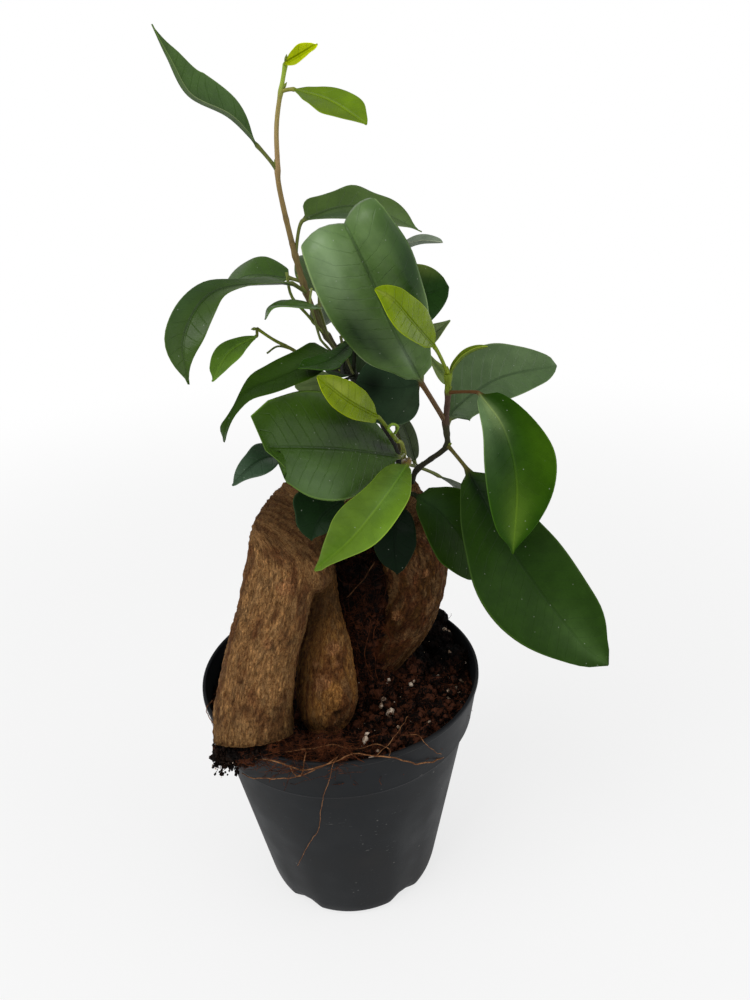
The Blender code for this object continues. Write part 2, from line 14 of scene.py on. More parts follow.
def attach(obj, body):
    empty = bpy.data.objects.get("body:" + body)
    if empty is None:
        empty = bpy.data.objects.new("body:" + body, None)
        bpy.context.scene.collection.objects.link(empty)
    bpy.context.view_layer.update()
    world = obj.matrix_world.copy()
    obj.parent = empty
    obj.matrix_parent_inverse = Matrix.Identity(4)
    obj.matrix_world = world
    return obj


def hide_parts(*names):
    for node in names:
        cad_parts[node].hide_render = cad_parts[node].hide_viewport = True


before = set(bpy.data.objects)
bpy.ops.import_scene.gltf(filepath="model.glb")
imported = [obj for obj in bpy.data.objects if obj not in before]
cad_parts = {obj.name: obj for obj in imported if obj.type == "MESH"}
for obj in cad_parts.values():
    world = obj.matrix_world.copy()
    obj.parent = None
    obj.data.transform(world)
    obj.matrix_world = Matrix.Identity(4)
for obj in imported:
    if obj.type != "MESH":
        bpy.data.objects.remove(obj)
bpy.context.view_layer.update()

MM = 0.001               # lengths below are in millimetres, and meshes are in metres

# %% [markdown]
# ## The camera
# A handheld close view from just above the leaves, looking down at the pot. A wide lens near
# the plant makes the pot look smaller than its leaves, so the distance matters as much as the
# direction. The angles are turned into one matrix, in the order yaw, pitch and roll.

# %% Camera
CAMERA_PLACE = (0, -0.281, 0.3177)
PITCH, YAW, ROLL = 24.81, 3.70, -2.50      # degrees: down, to the right, and about the view


def aim(place, pitch, yaw, roll):
    turn = Matrix.Rotation(np.radians(-yaw), 4, "Z")
    tilt = Matrix.Rotation(np.radians(90 - pitch), 4, "X")
    return Matrix.Translation(place) @ turn @ tilt @ Matrix.Rotation(np.radians(roll), 4, "Z")


camera = bpy.data.objects.new("camera", bpy.data.cameras.new("camera"))
camera.data.lens = 28
camera.data.sensor_width = 36
camera.data.clip_start = 0.01
camera.matrix_world = aim(CAMERA_PLACE, PITCH, YAW, ROLL)
bpy.context.scene.collection.objects.link(camera)
bpy.context.scene.camera = camera
print("camera at", CAMERA_PLACE)

# %% [markdown]
# ## Small helpers for nodes
# Materials and Geometry Nodes are both trees of nodes. One helper adds a node, sets its options
# and fills its inputs: a socket given as a value is linked, and anything else becomes the
# input's own value. A second helper starts a group with named inputs and outputs.

# %% Node helpers
def add_node(tree, kind, options=None, inputs=None):
    made = tree.nodes.new(kind)
    for key, value in (options or {}).items():
        setattr(made, key, value)
    for key, value in (inputs or {}).items():
        if isinstance(value, bpy.types.NodeSocket):
            tree.links.new(value, made.inputs[key])
        else:
            made.inputs[key].default_value = value
    return made


def math(tree, operation, *values):
    made = add_node(tree, "ShaderNodeMath", {"operation": operation}, dict(enumerate(values)))
    return made.outputs[0]


def ramp(tree, value, low, high, to_low=0.0, to_high=1.0):
    """A value mapped smoothly from one range to another."""
    return add_node(tree, "ShaderNodeMapRange", {"interpolation_type": "SMOOTHSTEP"},
                    {"Value": value, "From Min": low, "From Max": high,
                     "To Min": to_low, "To Max": to_high}).outputs[0]


def mix(tree, share, first, second, blend="MIX"):
    """Two colours mixed by a share."""
    return add_node(tree, "ShaderNodeMix", {"data_type": "RGBA", "blend_type": blend},
                    {0: share, 6: first, 7: second}).outputs[2]


def noise_of(tree, place, scale, detail=3.0, roughness=0.55):
    return add_node(tree, "ShaderNodeTexNoise", {}, {"Vector": place, "Scale": scale,
                    "Detail": detail, "Roughness": roughness}).outputs[0]


def stretched(tree, place, scale):
    """A place with each axis scaled, which draws a pattern out along an axis."""
    return add_node(tree, "ShaderNodeMapping", {}, {"Vector": place, "Scale": scale}).outputs[0]


def new_group(name, inputs, outputs, kind="ShaderNodeTree"):
    tree = bpy.data.node_groups.new(name, kind)
    for title, socket_type, value in inputs:
        made = tree.interface.new_socket(title, in_out="INPUT", socket_type=socket_type)
        if value is not None:
            made.default_value = value
    for title, socket_type in outputs:
        tree.interface.new_socket(title, in_out="OUTPUT", socket_type=socket_type)
    return tree, add_node(tree, "NodeGroupInput"), add_node(tree, "NodeGroupOutput")


def new_material(name):
    """A node material, its tree and its shader."""
    material = bpy.data.materials.new(name)
    material.use_nodes = True
    return material, material.node_tree, material.node_tree.nodes["Principled BSDF"]


def attribute(tree, name):
    return add_node(tree, "ShaderNodeAttribute", {"attribute_name": name})


def linear(colour):
    """A colour written as 0 to 255, made linear as Blender's sockets need."""
    share = np.array(colour[:3], float) / 255
    return tuple(np.where(share < 0.04045, share / 12.92, ((share + 0.055) / 1.055) ** 2.4))


COLOUR, VALUE, VECTOR = "NodeSocketColor", "NodeSocketFloat", "NodeSocketVector"

# %% [markdown]
# ## Floor, air and lamps
# The plant stands on a plain pale floor under soft light. The floor shows white to the camera
# near the plant and keeps a soft shadow, and fades into the white air further out. Two large
# area lamps and a dim white sky light the plant at a plain level, so that colours come out
# about as they are written.

# %% Floor, world and lamps
def make_floor(size=12.0, glow=0.72):
    mesh = bpy.data.meshes.new("floor")
    corners = [(x * size, y * size, 0) for x, y in ((-1, -1), (1, -1), (1, 1), (-1, 1))]
    mesh.from_pydata(corners, [], [(0, 1, 2, 3)])
    floor = bpy.data.objects.new("floor", mesh)
    bpy.context.scene.collection.objects.link(floor)
    material, tree, shader = new_material("pale_floor")
    shader.inputs["Base Color"].default_value = (0.9, 0.9, 0.9, 1)
    shader.inputs["Roughness"].default_value = 0.9
    place = add_node(tree, "ShaderNodeTexCoord").outputs["Object"]
    away = add_node(tree, "ShaderNodeVectorMath", {"operation": "LENGTH"}, {0: place}).outputs[1]
    path = add_node(tree, "ShaderNodeLightPath").outputs
    seen = math(tree, "MAXIMUM", path["Is Camera Ray"], path["Is Glossy Ray"])
    seen = math(tree, "MAXIMUM", seen, path["Is Transmission Ray"])
    share = math(tree, "MULTIPLY", seen, ramp(tree, away, 0.25, 0.9, glow, 1.0))
    white = add_node(tree, "ShaderNodeEmission", {}, {"Color": (1, 1, 1, 1), "Strength": 1.0})
    both = add_node(tree, "ShaderNodeMixShader", {}, {0: share, 1: shader.outputs[0],
                                                      2: white.outputs[0]})
    tree.links.new(both.outputs[0], tree.nodes["Material Output"].inputs["Surface"])
    mesh.materials.append(material)


def make_sky(strength=0.5):
    world = bpy.data.worlds.new("sky")
    bpy.context.scene.world = world
    world.use_nodes = True
    tree = world.node_tree
    path = add_node(tree, "ShaderNodeLightPath").outputs
    share = ramp(tree, path["Is Camera Ray"], 0, 1, strength, 1.0)
    background = tree.nodes["Background"]
    background.inputs["Color"].default_value = (1, 1, 1, 1)
    tree.links.new(share, background.inputs["Strength"])


def make_lamp(name, place, target, size, power):
    lamp = bpy.data.lights.new(name, "AREA")
    lamp.size = size
    lamp.energy = power
    item = bpy.data.objects.new(name, lamp)
    item.location = place
    item.rotation_euler = (Vector(target) - Vector(place)).to_track_quat("-Z", "Y").to_euler()
    bpy.context.scene.collection.objects.link(item)


make_floor()
make_sky()
make_lamp("key_lamp", (-0.55, -0.45, 0.95), (0, 0, 0.2), 0.7, 5.2)
make_lamp("fill_lamp", (0.8, -0.35, 0.6), (0, 0, 0.2), 0.8, 2.4)
bpy.context.scene.view_settings.view_transform = "Standard"

# %% [markdown]
# ## Shells
# Most pieces of a plant are skins drawn over a row of cross-sections, such as a stem or a leaf.
# A shell here is a list of points and faces. Shells are joined before they become one mesh,
# and values kept per point become attributes that a material reads.

# %% Shell helpers
def unit(vector):
    return vector / np.linalg.norm(vector)


def facing(azimuth, elevation):
    turn, lift = np.radians([azimuth, elevation])
    return np.array([np.cos(turn) * np.cos(lift), np.sin(turn) * np.cos(lift), np.sin(lift)])


def smooth_route(points, count):
    """Evenly spaced points on a smooth curve through the route's own points."""
    points = np.array(points, float)
    ends = np.vstack([2 * points[0] - points[1], points, 2 * points[-1] - points[-2]])
    fine = []
    for a, b, c, d in zip(ends, ends[1:], ends[2:], ends[3:]):
        for t in np.linspace(0, 1, 20, endpoint=False):
            bend = (2 * a - 5 * b + 4 * c - d) * t + (3 * b - a - 3 * c + d) * t * t
            fine.append(b + 0.5 * t * (c - a + bend))
    fine = np.array(fine + [points[-1]])
    steps = np.linalg.norm(np.diff(fine[:, :3], axis=0), axis=1)
    run = np.concatenate([[0], np.cumsum(steps)])
    even = np.linspace(0, run[-1], count)
    return np.stack([np.interp(even, run, column) for column in fine.T], 1)


def directions(route):
    along = np.gradient(route[:, :3], axis=0)
    return along / np.linalg.norm(along, axis=1)[:, None]


def carried_normals(along, face, start):
    """Normals along a route that keep to one side of it, without spinning."""
    normals = np.zeros_like(along)
    normals[start] = unit(face - along[start] * np.dot(face, along[start]))
    for step, order in ((1, range(start + 1, len(along))), (-1, range(start - 1, -1, -1))):
        for i in order:
            last = normals[i - step]
            normals[i] = unit(last - along[i] * np.dot(last, along[i]))
    return normals


def skin(rings):
    """A closed shell over cross-sections: an array of ring, point and place."""
    rings = np.array(rings, float)
    count, around = rings.shape[:2]
    index = np.arange(count * around).reshape(count, around)
    low, high = index[:-1], index[1:]
    quads = np.stack([low, np.roll(low, -1, 1), np.roll(high, -1, 1), high], -1)
    faces = quads.reshape(-1, 4).tolist() + [index[0][::-1].tolist(), index[-1].tolist()]
    return rings.reshape(-1, 3), faces


def joined(shells):
    points, faces, first = [], [], 0
    for shell_points, shell_faces in shells:
        points.append(shell_points)
        faces += [[corner + first for corner in face] for face in shell_faces]
        first += len(shell_points)
    return np.vstack(points), faces


def tube(route, radii, around=8, face=(0.3, -0.9, 0.2)):
    """A round skin along a route."""
    along = directions(route)
    radii = np.broadcast_to(radii, len(route))
    angles = np.linspace(0, 2 * np.pi, around, endpoint=False)
    rings = []
    for place, way, up, radius in zip(route, along, carried_normals(along, np.array(face), 0),
                                      radii):
        side = np.cross(way, up)
        rings.append([place[:3] + radius * (np.cos(a) * side + np.sin(a) * up) for a in angles])
    return skin(rings)


def outward(mesh):
    """Turns every face of a closed mesh outwards."""
    shape = bmesh.new()
    shape.from_mesh(mesh)
    bmesh.ops.recalc_face_normals(shape, faces=shape.faces)
    shape.to_mesh(mesh)
    shape.free()


def shell_mesh(name, shell, smooth=True):
    points, faces = shell
    mesh = bpy.data.meshes.new(name)
    mesh.from_pydata((points * MM).tolist(), [], faces)
    outward(mesh)
    if smooth:
        mesh.shade_smooth()
    return mesh


def keep_values(mesh, name, values):
    """Stores one value, vector or colour per point for materials."""
    values = np.array(values, float)
    kind = "FLOAT" if values.ndim == 1 else ("FLOAT_VECTOR", "FLOAT_COLOR")[values.shape[1] - 3]
    field = {"FLOAT": "value", "FLOAT_VECTOR": "vector", "FLOAT_COLOR": "color"}[kind]
    mesh.attributes.new(name, kind, "POINT").data.foreach_set(field, values.ravel())


def with_alpha(colours):
    return np.column_stack([colours, np.ones(len(colours))])


def add_piece(name, mesh, material, slot, *nodes):
    """Places a finished mesh in the scene, as the look of the nodes that it replaces."""
    item = bpy.data.objects.new(name, mesh)
    bpy.context.scene.collection.objects.link(item)
    mesh.materials.clear()
    mesh.materials.append(material)
    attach(item, "root")
    if nodes:
        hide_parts(*nodes)
    return item


def smooth_noise(places, size, seed=0, octaves=3):
    """Cloudy values from about -1 to 1 at places in millimetres, with features of a size."""
    shift = Vector((seed * 17.3, seed * 5.1, seed * 9.7))
    spots = (Vector(place / size) + shift for place in places)
    return np.array([noise.fractal(spot, 1.0, 2.0, octaves) for spot in spots])


def bump(value, middle, width):
    return np.exp(-((np.asarray(value) - middle) / width) ** 2)

# %% [markdown]
# ## The nursery pot
# A thin pot is blown or moulded in black plastic: a slightly flared collar at the top, a small
# step under it, a tapered body and a rounded foot with shallow notches that let water out. It
# could be lathed from a profile, and Blender's Screw modifier does that: it turns the wall's
# section about Z. The notches are then pressed into the foot by moving points.

# %% Pot shape
POT_HEIGHT, RIM_RADIUS, WALL = 109, 60, 1.2
COLLAR_FOOT, COLLAR_FOOT_RADIUS, BODY_TOP_RADIUS, BASE_RADIUS = 89, 57.2, 54.8, 39.5
POT_STEPS = 192
NOTCH_ANGLES = (-126, -57, 15, 87, 159)    # degrees round the pot


def rounded(points, radius, steps=4):
    """A profile whose inner corners are rounded."""
    points = [np.array(point, float) for point in points]
    made = [points[0]]
    for a, b, c in zip(points, points[1:], points[2:]):
        cut = min(radius, np.linalg.norm(a - b) / 2.2, np.linalg.norm(c - b) / 2.2)
        start, end = b + unit(a - b) * cut, b + unit(c - b) * cut
        for t in np.linspace(0, 1, steps + 1):
            made.append((1 - t) ** 2 * start + 2 * t * (1 - t) * b + t * t * end)
    return made + [points[-1]]


def evaluated(item):
    graph = bpy.context.evaluated_depsgraph_get()
    return bpy.data.meshes.new_from_object(item.evaluated_get(graph))


def baked(name, mesh, *modifiers):
    """A mesh with modifiers run on it, given as a kind and its settings."""
    item = bpy.data.objects.new(name, mesh)
    bpy.context.scene.collection.objects.link(item)
    for kind, settings in modifiers:
        made = item.modifiers.new(kind.lower(), kind)
        for key, value in settings.items():
            setattr(made, key, value)
    result = evaluated(item)
    bpy.data.objects.remove(item)
    return result


def points_of(mesh):
    places = np.zeros(len(mesh.vertices) * 3, np.float32)
    mesh.vertices.foreach_get("co", places)
    return places.reshape(-1, 3).astype(float) / MM


def normals_of(mesh):
    normals = np.zeros(len(mesh.vertices) * 3, np.float32)
    mesh.vertex_normals.foreach_get("vector", normals)
    return normals.reshape(-1, 3).astype(float)


def move_points(mesh, places):
    mesh.vertices.foreach_set("co", (np.asarray(places) * MM).astype(np.float32).ravel())
    mesh.update()


def pot_wall():
    """The wall's section, from its inner floor over the rim to its underside."""
    inside = [(0, 1.6), (BASE_RADIUS - WALL - 3, 1.6), (BASE_RADIUS - WALL, 5),
              (BODY_TOP_RADIUS - WALL, COLLAR_FOOT - 1.5),
              (COLLAR_FOOT_RADIUS - WALL, COLLAR_FOOT + 0.3),
              (RIM_RADIUS - WALL - 0.1, POT_HEIGHT - 1.4), (RIM_RADIUS - WALL, POT_HEIGHT)]
    outside = [(RIM_RADIUS, POT_HEIGHT), (RIM_RADIUS + 0.1, POT_HEIGHT - 1.6),
               (RIM_RADIUS - 0.35, POT_HEIGHT - 2.2),
               (COLLAR_FOOT_RADIUS + 0.1, COLLAR_FOOT + 1.2), (COLLAR_FOOT_RADIUS, COLLAR_FOOT),
               (BODY_TOP_RADIUS + 0.25, COLLAR_FOOT - 1.4),
               (BODY_TOP_RADIUS - 0.5, COLLAR_FOOT - 5),
               (BASE_RADIUS + 0.7, 6), (BASE_RADIUS - 0.6, 1.2), (BASE_RADIUS - 4, 0), (0, 0)]
    lip = rounded([inside[-1]] + outside[:2], 0.5)
    return rounded(inside, 2.0)[:-1] + lip + rounded(outside[1:], 1.6)[1:]


def press_notches(places):
    """Lifts the foot's edge at each notch, and draws it in a little."""
    angle = np.degrees(np.arctan2(places[:, 1], places[:, 0]))
    radius = np.hypot(places[:, 0], places[:, 1])
    depth = np.zeros(len(places))
    for middle in NOTCH_ANGLES:
        away = np.abs((angle - middle + 180) % 360 - 180)
        depth += np.clip(1.4 - away / 8, 0, 1)
    low = np.clip(1 - places[:, 2] / 9, 0, 1) * np.clip((radius - 26) / 8, 0, 1)
    places[:, 2] += 1.7 * depth * low
    places[:, :2] *= (1 - 0.035 * depth * low)[:, None]
    return places


def make_pot_mesh():
    profile = pot_wall()
    mesh = bpy.data.meshes.new("pot_section")
    edges = [(i, i + 1) for i in range(len(profile) - 1)]
    mesh.from_pydata([(r * MM, 0, z * MM) for r, z in profile], edges, [])
    turned = baked("pot_section", mesh, ("SCREW", {"steps": POT_STEPS, "render_steps": POT_STEPS,
                   "use_merge_vertices": True, "merge_threshold": 0.00001}))
    outward(turned)
    turned.shade_smooth()
    move_points(turned, press_notches(points_of(turned)))
    return turned


pot_mesh = make_pot_mesh()
print("pot faces:", len(pot_mesh.polygons))

# %% [markdown]
# ## Black plastic
# Moulded plastic is never one flat colour: it has a faint grain, a dusting of dried soil and
# pale scuffs where pots rub together. The scuffs are a stretched noise cut off at a high level,
# and the dust lies in soft clouds.

# %% Plastic group and material
def make_plastic_group():
    tree, given, out = new_group(
        "moulded plastic",
        [("Place", VECTOR, None), ("Colour", COLOUR, (0.010, 0.0115, 0.0135, 1)),
         ("Dust", COLOUR, (0.09, 0.08, 0.07, 1)), ("Scuffs", VALUE, 0.35)],
        [("Color", COLOUR), ("Roughness", VALUE), ("Height", VALUE)])
    given = given.outputs
    grain = noise_of(tree, given["Place"], 2600, 2)
    clouds = noise_of(tree, given["Place"], 38, 4)
    marks = noise_of(tree, stretched(tree, given["Place"], (260, 260, 1500)), 1.0, 3, 0.7)
    where = noise_of(tree, given["Place"], 55, 2)
    scuffs = math(tree, "MULTIPLY", ramp(tree, marks, 0.66, 0.74), ramp(tree, where, 0.5, 0.62))
    specks = add_node(tree, "ShaderNodeTexVoronoi", {}, {"Vector": given["Place"], "Scale": 190})
    dots = math(tree, "MULTIPLY", ramp(tree, specks.outputs["Distance"], 0.10, 0.04),
                ramp(tree, where, 0.5, 0.6))
    dusty = ramp(tree, clouds, 0.42, 0.75, 0.0, 0.12)
    colour = mix(tree, dusty, given["Colour"], given["Dust"])
    marked = math(tree, "MULTIPLY", math(tree, "MAXIMUM", scuffs, dots), given["Scuffs"])
    colour = mix(tree, marked, colour, (0.3, 0.29, 0.27, 1))
    tree.links.new(colour, out.inputs["Color"])
    rough = math(tree, "ADD", ramp(tree, clouds, 0.3, 0.7, 0.46, 0.6),
                 math(tree, "MULTIPLY", marked, 0.2))
    tree.links.new(rough, out.inputs["Roughness"])
    height = math(tree, "ADD", math(tree, "MULTIPLY", grain, 0.35),
                  math(tree, "MULTIPLY", scuffs, 0.4))
    tree.links.new(height, out.inputs["Height"])
    return tree


def surface(tree, shader, group, links, strength, distance):
    """Puts a pattern group's colour, roughness and height on a material's shader."""
    pattern = add_node(tree, "ShaderNodeGroup", {"node_tree": group}, links)
    tree.links.new(pattern.outputs["Color"], shader.inputs["Base Color"])
    if "Roughness" in pattern.outputs:
        tree.links.new(pattern.outputs["Roughness"], shader.inputs["Roughness"])
    relief = add_node(tree, "ShaderNodeBump", {}, {"Height": pattern.outputs["Height"],
                      "Strength": strength, "Distance": distance})
    tree.links.new(relief.outputs[0], shader.inputs["Normal"])
    return pattern


def object_place(tree):
    return add_node(tree, "ShaderNodeTexCoord").outputs["Object"]


plastic_group = make_plastic_group()
pot_plastic, tree, shader = new_material("pot_plastic")
surface(tree, shader, plastic_group, {"Place": object_place(tree)}, 0.25, 0.0003)
shader.inputs["Specular IOR Level"].default_value = 0.1
add_piece("nursery_pot", pot_mesh, pot_plastic, "pot_plastic", "pot")

# %% [markdown]
# ## The trunk
# The swollen roots have grown together at the crown. Each root is a limb that swells and
# narrows along a chain of balls. The limbs overlap, a voxel Remesh fuses them into one skin,
# and a Smooth modifier melts the joints, which is quicker and more natural than joining
# separate tubes by hand. The left root was sawn off flat where it stands on the pot's edge.

# %% Trunk limbs
ROOTS = {
    "left_leg": [(-36.3, -36, 102, 16), (-35.2, -34.4, 118, 15), (-29.5, -30, 141, 13.8),
                 (-24.2, -27, 157, 13.5), (-20.2, -22.5, 171, 13.3), (-16.4, -17.5, 184, 13.2),
                 (-10.5, -12, 191, 12.2)],
    "middle_leg": [(-8, -27, 99, 8), (-7, -25, 112, 12.3), (-5.8, -20, 133, 10.3),
                   (-6.8, -15, 150, 8.2), (-8, -11, 170, 8)],
    "right_leg": [(5, 2, 98, 8), (10, 2, 107, 11), (18.3, 3, 119, 14.2), (26.5, 4, 132, 15.8),
                  (31.7, 3, 151, 16), (30.5, 1, 172, 14.5), (28, 0, 185, 10)],
    "crown": [(-11, -12, 190, 12), (5, -6, 187, 13.5), (18, -2, 186, 13), (27, 0, 186.5, 10.5)],
}
KNOBS = [(-9, -24, 172, 9), (25, -6, 190, 6), (-2, -32, 118, 6)]
SAWN_LEVEL = 105.8
HOLLOWS = [(-2.4, -37, 113, 2.0), (-18, -40, 150, 1.2), (-38, -48, 128, 1.0), (-31, -47, 120, 0.9)]
TRUNK_VOXEL = 0.72


def ball(shape, x, y, z, radius, detail=3):
    made = bmesh.ops.create_icosphere(shape, subdivisions=detail, radius=radius)
    bmesh.ops.translate(shape, vec=(x, y, z), verts=made["verts"])


def fused(name, limbs, balls, voxel, soften):
    """One skin over overlapping limbs and balls."""
    shells = [tube(smooth_route(chain, 40), smooth_route(chain, 40)[:, 3], 36) for chain in limbs]
    shape = bmesh.new()
    for x, y, z, radius in balls:
        ball(shape, x, y, z, radius)
    shape.verts.index_update()
    places = np.array([vertex.co[:] for vertex in shape.verts])
    faces = [[vertex.index for vertex in face.verts] for face in shape.faces]
    shape.free()
    mesh = shell_mesh(name, joined(shells + [(places, faces)]))
    return baked(name, mesh, ("REMESH", {"mode": "VOXEL", "voxel_size": voxel * MM}),
                 ("SMOOTH", {"iterations": soften}))


def straightened(places, chain):
    """Where each point lies on a limb laid out straight: across, deep and along, and how near."""
    route = smooth_route(chain, 60)
    along = directions(route)
    ups = carried_normals(along, np.array([0.3, -0.9, 0.1]), 0)
    sides = np.cross(along, ups)
    steps = np.linalg.norm(np.diff(route[:, :3], axis=0), axis=1)
    run = np.concatenate([[0], np.cumsum(steps)])
    apart = np.linalg.norm(places[:, None] - route[None, :, :3], axis=2)
    near = np.argmin(apart - route[:, 3], axis=1)
    off = places - route[near, :3]
    local = np.stack([np.einsum("ij,ij->i", off, sides[near]),
                      np.einsum("ij,ij->i", off, ups[near]),
                      run[near] + np.einsum("ij,ij->i", off, along[near])], 1)
    return local, apart[np.arange(len(places)), near] - route[near, 3]


def limb_places(places):
    """Each point's place on the straightened limbs, and each limb's share of the point."""
    found = [straightened(places, chain) for chain in ROOTS.values()]
    gaps = np.array([gap for _, gap in found])
    shares = np.exp(-(gaps - gaps.min(0)) / 2.0)
    shares /= shares.sum(0)
    local = sum(share[:, None] * (spot + 120 * i) for i,
                (share, (spot, _)) in enumerate(zip(shares, found)))
    return local, shares


trunk_mesh = fused("trunk_skin", ROOTS.values(),
                   [tuple(chain[-1]) for chain in ROOTS.values()] + KNOBS,
                   TRUNK_VOXEL, 7)
print("trunk points:", len(trunk_mesh.vertices))

# %% [markdown]
# ## Bark relief
# The bark of these roots is thin, with fine ridges along the limb, low lumps, pale ring scars
# where side roots broke off, and small hollows, which are darkened with painted shade. The large
# relief moves the points, with cloudy noise that is stretched along each straightened limb, so
# that it bends with the root.
# The sawn foot is then cut flat, at a slight tilt. What is finer than the mesh is left to the
# material's bump.

# %% Bark relief and colour
SCARS = [(-18, -36, 172, 3.4), (-3, -28, 138, 3.3), (-2, -29.5, 132, 2.2), (-8, -33, 126, 3.4),
         (-10.5, -31, 133, 1.7),
         (-44, -45, 136, 2.4), (-26, -42, 152, 2.0), (24, -12, 140, 2.6), (36, -12, 160, 2.2)]
# The right leg's dark tone is partly its own bark and partly painted shade.
LIMB_TONES = [(166, 124, 78), (164, 116, 62), (87, 57, 24), (134, 100, 62)]


def carve_bark(mesh):
    places, normals = points_of(mesh), normals_of(mesh)
    local, _ = limb_places(places)
    lumps = smooth_noise(local * (1, 1, 0.45), 9, 1)
    wrinkles = smooth_noise(local * (0.5, 0.5, 1.6), 3.2, 2)
    furrows = smooth_noise(local * (1.0, 1.0, 0.16), 2.6, 3)
    grain = smooth_noise(local * (1.0, 1.0, 0.45), 1.5, 4, 2)
    ridges = 0.5 - np.abs(smooth_noise(local * (1.0, 1.0, 0.3), 1.35, 5, 2))
    depth = 0.7 * lumps + 0.2 * wrinkles + 0.7 * ridges - 0.5 * np.clip(furrows - 0.1, 0,
                                                                        1) + 0.3 * grain
    for x, y, z, size in SCARS:
        away = np.linalg.norm(places - (x, y, z), axis=1)
        depth += 0.7 * bump(away, size * 0.6, size * 0.4) - 0.6 * bump(away, 0, size * 0.25)
    places += normals * depth[:, None]
    for x, y, z, size in HOLLOWS:
        away = np.linalg.norm(places - (x, y, z), axis=1)
        places -= 0.5 * size * normals * bump(away, 0, size * 0.6)[:, None]
    sawn = (places[:, 0] < -19.5) & (places[:, 1] < -10)
    level = SAWN_LEVEL + 0.5 * np.clip(-36 - places[:, 1], 0, 18) + 0.5 * smooth_noise(places, 5,
                                                                                       61)
    places[sawn, 2] = np.maximum(places[sawn, 2], level[sawn])
    move_points(mesh, places)
    fine = 0.7 * ridges + 0.3 * grain
    return (fine - fine.mean()) / fine.std()


def paint_bark(mesh, relief):
    places = points_of(mesh)
    local, shares = limb_places(places)
    tones = shares.T @ np.array([linear(tone) for tone in LIMB_TONES])
    patches = smooth_noise(local * (1, 1, 0.4), 7, 6)
    red = np.clip(patches * 2.0 + 0.2, 0, 0.8)[:, None]
    tones = tones * (1 - red) + np.array(linear((100, 60, 34))) * red
    pale = np.clip(smooth_noise(local * (1, 1, 0.4), 3.2, 8) * 1.4 - 0.1, 0, 0.42)[:, None]
    tones = tones * (1 - pale) + np.array(linear((150, 118, 80))) * pale
    olive = np.clip((132 - places[:, 2]) / 22, 0, 1) * shares[0] * 0.5
    tones = tones * (1 - olive[:, None]) + np.array(linear((124, 96, 58))) * olive[:, None]
    edges = smooth_noise(places, 1.6, 62)
    for x, y, z, size in SCARS:
        away = np.linalg.norm(places - (x, y, z), axis=1) / size + 0.5 * edges
        scar = 0.8 * np.clip(2.6 * (1.1 - away), 0, 1)[:, None]
        tones = tones * (1 - scar) + np.array(linear((178, 126, 82))) * scar
    # Painted shade: each hollow is darkened almost to black.
    for x, y, z, size in HOLLOWS:
        away = np.linalg.norm(places - (x, y, z), axis=1) / size
        hollow_shade = 0.9 * np.clip(1.7 - 1.3 * away, 0, 1)[:, None]
        tones = tones * (1 - hollow_shade) + np.array(linear((30, 18, 12))) * hollow_shade
    foot = np.clip((113 - places[:, 2]) / 7, 0, 1)[:, None] * 0.45
    tones = tones * (1 - foot) + np.array(linear((52, 36, 22))) * foot
    # Painted shade darkens the middle leg towards its top, under the leaves, and the relief is
    # painted as highlight on ridges and shade in furrows.
    shade = 1 - 0.55 * shares[1] * np.clip((places[:, 2] - 136) / 14, 0, 1)
    tones *= (shade * np.clip(1.03 + 0.17 * relief, 0.6, 1.6))[:, None]
    keep_values(mesh, "tone", with_alpha(tones))
    keep_values(mesh, "limb_place", local)


bark_relief = carve_bark(trunk_mesh)
paint_bark(trunk_mesh, bark_relief)
trunk_mesh.shade_smooth()
print("bark relief from", round(bark_relief.min(), 2), "to", round(bark_relief.max(), 2), "spreads")
